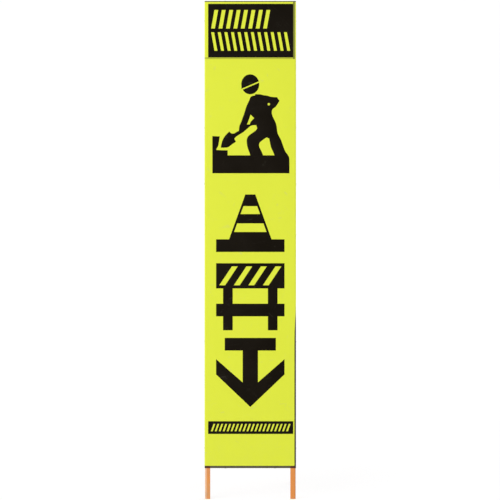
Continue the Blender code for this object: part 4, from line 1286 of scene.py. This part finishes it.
class ROADSIGN_OT_films(bpy.types.Operator):
    """Cut the black films and lay them on the sheeting"""

    bl_idname = "road_sign.films"
    bl_label = "Black Films"

    def execute(self, context):
        settings = context.scene.road_sign_face
        low, _ = node_box("face_panel", FACE)
        front = low[1] - SHEETING_LIFT - settings.sheeting_thickness - settings.film_thickness
        for word in FILMS:
            loops = [eased(loop) for loop in film_loops("film_" + word)]
            mesh = film_mesh("Film_" + word, loops, front, settings.film_thickness)
            add_piece("Film_" + word, mesh, "sign", "black_film", ["film_" + word])
        return {"FINISHED"}


class ROADSIGN_OT_uprights(bpy.types.Operator):
    """Roll the two uprights, whose lower ends are the front legs"""

    bl_idname = "road_sign.uprights"
    bl_label = "Uprights"

    def execute(self, context):
        settings = context.scene.road_sign_frame
        for side, word in SIDES:
            outline = angle_outline(side * FRAME_OUTER, side * FLANGE_EDGE, UPRIGHT_HIGH[1],
                                    ANGLE_OUTER_RADIUS, ANGLE_INNER_RADIUS)
            shell = straight_shell(outline, 0.0, UPRIGHT_HIGH[2], slope=math.tan(LEAN))
            piece = add_shell("Upright_" + word, shell, "sign", "orange_enamel", ["upright_" + word])
            round_edges(piece, settings.edge_round)
        return {"FINISHED"}


class ROADSIGN_OT_rails(bpy.types.Operator):
    """Roll the five cross rails"""

    bl_idname = "road_sign.rails"
    bl_label = "Rails"

    def execute(self, context):
        settings = context.scene.road_sign_frame
        for word in RAILS:
            node = word + "_rail"
            low, high = node_box(node, FACE)
            heel, edge = (low[2], high[2]) if word == "bottom" else (high[2], low[2])
            outline = angle_outline(heel, edge, high[1], ANGLE_THICKNESS, ANGLE_INNER_RADIUS / 2)
            points, faces = straight_shell(outline, low[0], high[0])
            laid = (points[:, [2, 1, 0]], faces)
            piece = add_shell("Rail_" + word, laid, "sign", "orange_enamel", [node])
            round_edges(piece, settings.edge_round)
        return {"FINISHED"}


class ROADSIGN_OT_stand(bpy.types.Operator):
    """Bend the rear stand: two legs with pressed eyes and two crossbars"""

    bl_idname = "road_sign.stand"
    bl_label = "Rear Stand"

    def execute(self, context):
        length = JOINT_PLACES["stand_fold"].z / math.cos(LEAN)
        for side, word in SIDES:
            name = "Stand_leg_" + word
            mesh = bored_mesh(name, leg_shell(side, length), BOLT_HOLE_RADIUS, STAND)
            add_piece(name, mesh, "stand", "orange_enamel", ["stand_leg_" + word])
        for word in CROSSBARS:
            node = "stand_crossbar_" + word
            shell = crossbar_shell(node_middle(node, STAND)[2])
            add_shell("Crossbar_" + word, shell, "stand", "orange_enamel", [node])
        return {"FINISHED"}


class ROADSIGN_OT_welds(bpy.types.Operator):
    """Lay the weld beads of the rails, the crossbars and the stay's bracket"""

    bl_idname = "road_sign.welds"
    bl_label = "Weld Beads"

    def execute(self, context):
        width = context.scene.road_sign_frame.bead_width
        for word in RAILS:
            low, high = node_box(word + "_rail", FACE)
            up = np.linspace(low[2] + WELD_INSET, high[2] - WELD_INSET, 60)
            seam = (FLANGE_EDGE + high[0]) / 2
            beads = [weld_bead(points_of(side * seam, ANGLE_THICKNESS - WELD_DEPTH, up), ACROSS, width)
                     for side, _ in SIDES]
            add_shell("Weld_" + word, joined(beads), "sign", "orange_enamel")
        turn = full_turn(96)
        radius = BAR_RADIUS + WELD_OFF_BAR
        for word in CROSSBARS:
            height = node_middle("stand_crossbar_" + word, STAND)[2] + radius * np.sin(turn)
            beads = []
            for side, _ in SIDES:
                path = points_of(side * (bar_end(turn) - WELD_OFF_LEG), radius * np.cos(turn), height)
                beads.append(weld_bead(path, (float(side), 0.0, 0.0), width * BAR_WELD_SHARE, closed=True))
            add_shell("Weld_crossbar_" + word, joined(beads), "stand", "orange_enamel")
        low, high = node_box("stay_bracket", FACE)
        rail_back = node_box("lower_rail", FACE)[1][1]
        back = np.linspace(low[1] + 0.001, rail_back - 0.0005, 40)
        width = width * BRACKET_WELD_SHARE
        beads = [weld_bead(points_of(side * high[0], back, low[2] + 0.0001), ACROSS, width)
                 for side, _ in SIDES]
        add_shell("Weld_bracket", joined(beads), "sign", "orange_enamel")
        return {"FINISHED"}


class ROADSIGN_OT_rivets(bpy.types.Operator):
    """Set the blind rivets through the panel's returns"""

    bl_idname = "road_sign.rivets"
    bl_label = "Rivets"

    def execute(self, context):
        panel_middle = node_middle("face_panel", FACE)
        for node in [node for node in FRAME["nodes"] if node.startswith("rivet_")]:
            low, high = node_box(node, FACE)
            head = (low + high) / 2
            axis = 2 if abs(head[0]) < FLANGE_EDGE else 0
            sense = 1.0 if head[axis] > panel_middle[axis] else -1.0
            head[axis] = high[axis] if sense > 0 else low[axis]
            points, faces = turned_shell(rivet_profile(high[axis] - low[axis]), 28)
            points = points * (-sense, 1.0, 1.0)
            if axis == 2:
                points = points[:, [1, 2, 0]]
            add_shell(node.capitalize(), (points + head, faces), "sign", "rivet_metal", [node])
        return {"FINISHED"}


class ROADSIGN_OT_hinges(bpy.types.Operator):
    """Fit the hinge bolts, spacers, washers and lock nuts"""

    bl_idname = "road_sign.hinges"
    bl_label = "Hinges"

    def execute(self, context):
        pitch = context.scene.road_sign_frame.thread_pitch
        for side, word in SIDES:
            low, high = node_box("hinge_bolt_" + word, FACE)
            middle = (low + high) / 2
            outside = max(abs(low[0]), abs(high[0]))
            shells = {"bolt": bolt_shell(high[0] - low[0], pitch)}
            for kind, edge in (("spacer", 0.0004), ("washer", 0.0002)):
                node = f"hinge_{kind}_{word}"
                box_low, box_high = node_box(node, FACE)
                section = ring_section(*inward_span(node, outside), BOLT_HOLE_RADIUS,
                                       (box_high[1] - box_low[1]) / 2, edge)
                shells[kind] = turned_shell(section, 40, ring=True)
            start, end = inward_span("hinge_nut_" + word, outside)
            shells["nut"] = nut_shell(start, end - start)
            ring = ring_section(end - 0.0011, end - 0.0003, BOLT_RADIUS - 0.0002, 0.0034, 0.0002)
            shells["nut_ring"] = turned_shell(ring, 36, ring=True)
            for kind, (points, faces) in shells.items():
                along, back, up = points.T
                placed = points_of(side * (outside - along), back + middle[1], up + middle[2])
                node = f"hinge_{kind}_{word}"
                rest = {"finish": "nylon"} if kind == "nut_ring" else {"nodes": [node]}
                add_shell(node.capitalize(), (placed, faces), "sign", "zinc", **rest)
        return {"FINISHED"}


class ROADSIGN_OT_stay(bpy.types.Operator):
    """Bend the stay rod, fold its bracket and set its pin"""

    bl_idname = "road_sign.stay"
    bl_label = "Stay"

    def execute(self, context):
        rod_radius = node_box("stay_rod", STAY)[1][0]
        path, radii = with_round_ends(stay_path(rod_radius), rod_radius)
        shell = tube_shell(points_of(0.0, *path.T), np.array(ACROSS), radii, steps=24)
        add_shell("Stay_rod", shell, "stay", "zinc", ["stay_rod"])
        _, back, up = node_middle("stay_pin", FACE)
        points, faces = turned_shell(pin_profile(node_box("stay_pin", FACE)[1][0]), 36)
        add_shell("Stay_pin", (points + (0.0, back, up), faces), "sign", "zinc", ["stay_pin"])
        bracket = add_shell("Stay_bracket", bracket_shell(), "sign", "orange_enamel", ["stay_bracket"])
        round_edges(bracket, BRACKET_EDGE_ROUND)
        return {"FINISHED"}


class ROADSIGN_OT_stage(bpy.types.Operator):
    """Set up the floor, the lights and the camera"""

    bl_idname = "road_sign.stage"
    bl_label = "Stage"

    def execute(self, context):
        settings = context.scene.road_sign_stage
        scene = context.scene
        turn = full_turn(96)
        mesh = bpy.data.meshes.new("Floor")
        rim = points_of(FLOOR_RADIUS * np.cos(turn), FLOOR_RADIUS * np.sin(turn), -FLOOR_DROP)
        mesh.from_pydata(rim, [], [list(range(len(turn)))])
        mesh.materials.append(floor_material())
        floor = linked("Floor", mesh)
        scene.world = studio_world(settings.ambient)

        # Each soft box: its turn about the object and its rise in degrees, its distance, width,
        # height and brightness
        for name, around, rise, distance, width, height, glow in (
            ("Key", -46.0, 14.0, 6.0, 5.6, 3.0, settings.key),
            ("Rear", 150.0, 26.0, 6.0, 5.0, 4.0, settings.rear),
        ):
            lamp = bpy.data.lights.new(name, "AREA")
            lamp.shape = "RECTANGLE"
            lamp.size = width
            lamp.size_y = height
            lamp.energy = glow * math.pi * width * height
            aimed(name, lamp, LAMP_AIM, direction(math.radians(around), math.radians(rise)), distance)

        _, high = node_box("face_panel", FACE)
        camera = bpy.data.cameras.new("Camera")
        camera.sensor_width = 36.0
        camera.lens = camera.sensor_width * settings.camera_distance / settings.frame_width
        camera.clip_start = 0.1
        camera.clip_end = 200.0
        camera.shift_x = -0.0006
        aim = FACE @ Vector((0.0, 0.0, high[2] / 2))
        outwards = (FACE.to_3x3() @ Vector((0.0, -1.0, 0.0))).normalized()
        scene.camera = aimed("Camera", camera, aim, outwards, settings.camera_distance)
        scene.view_settings.view_transform = "Standard"
        return {"FINISHED"}


OPERATORS = (
    ROADSIGN_OT_stage,
    ROADSIGN_OT_panel,
    ROADSIGN_OT_sheeting,
    ROADSIGN_OT_films,
    ROADSIGN_OT_uprights,
    ROADSIGN_OT_rails,
    ROADSIGN_OT_stand,
    ROADSIGN_OT_welds,
    ROADSIGN_OT_rivets,
    ROADSIGN_OT_hinges,
    ROADSIGN_OT_stay,
)


class ROADSIGN_PT_pieces(bpy.types.Panel):
    """Lists the sign's operators in the sidebar"""

    bl_idname = "ROADSIGN_PT_pieces"
    bl_label = "Road Sign"
    bl_space_type = "VIEW_3D"
    bl_region_type = "UI"
    bl_category = "Road Sign"

    def draw(self, context):
        for operator in OPERATORS:
            self.layout.operator(operator.bl_idname)


GROUPS = {
    "road_sign_face": RoadSignFace,
    "road_sign_frame": RoadSignFrame,
    "road_sign_stage": RoadSignStage,
}


def register():
    """Register the classes and hang the settings on the scene."""
    for kind in (*GROUPS.values(), *OPERATORS, ROADSIGN_PT_pieces):
        bpy.utils.register_class(kind)
    for name, group in GROUPS.items():
        setattr(bpy.types.Scene, name, PointerProperty(type=group))


def unregister():
    """Take the settings and the classes away again."""
    for name in GROUPS:
        delattr(bpy.types.Scene, name)
    for kind in (ROADSIGN_PT_pieces, *reversed(OPERATORS), *GROUPS.values()):
        bpy.utils.unregister_class(kind)


def main():
    """Make every piece in order."""
    register()
    for operator in OPERATORS:
        family, name = operator.bl_idname.split(".")
        getattr(getattr(bpy.ops, family), name)()


if __name__ == "__main__":
    main()
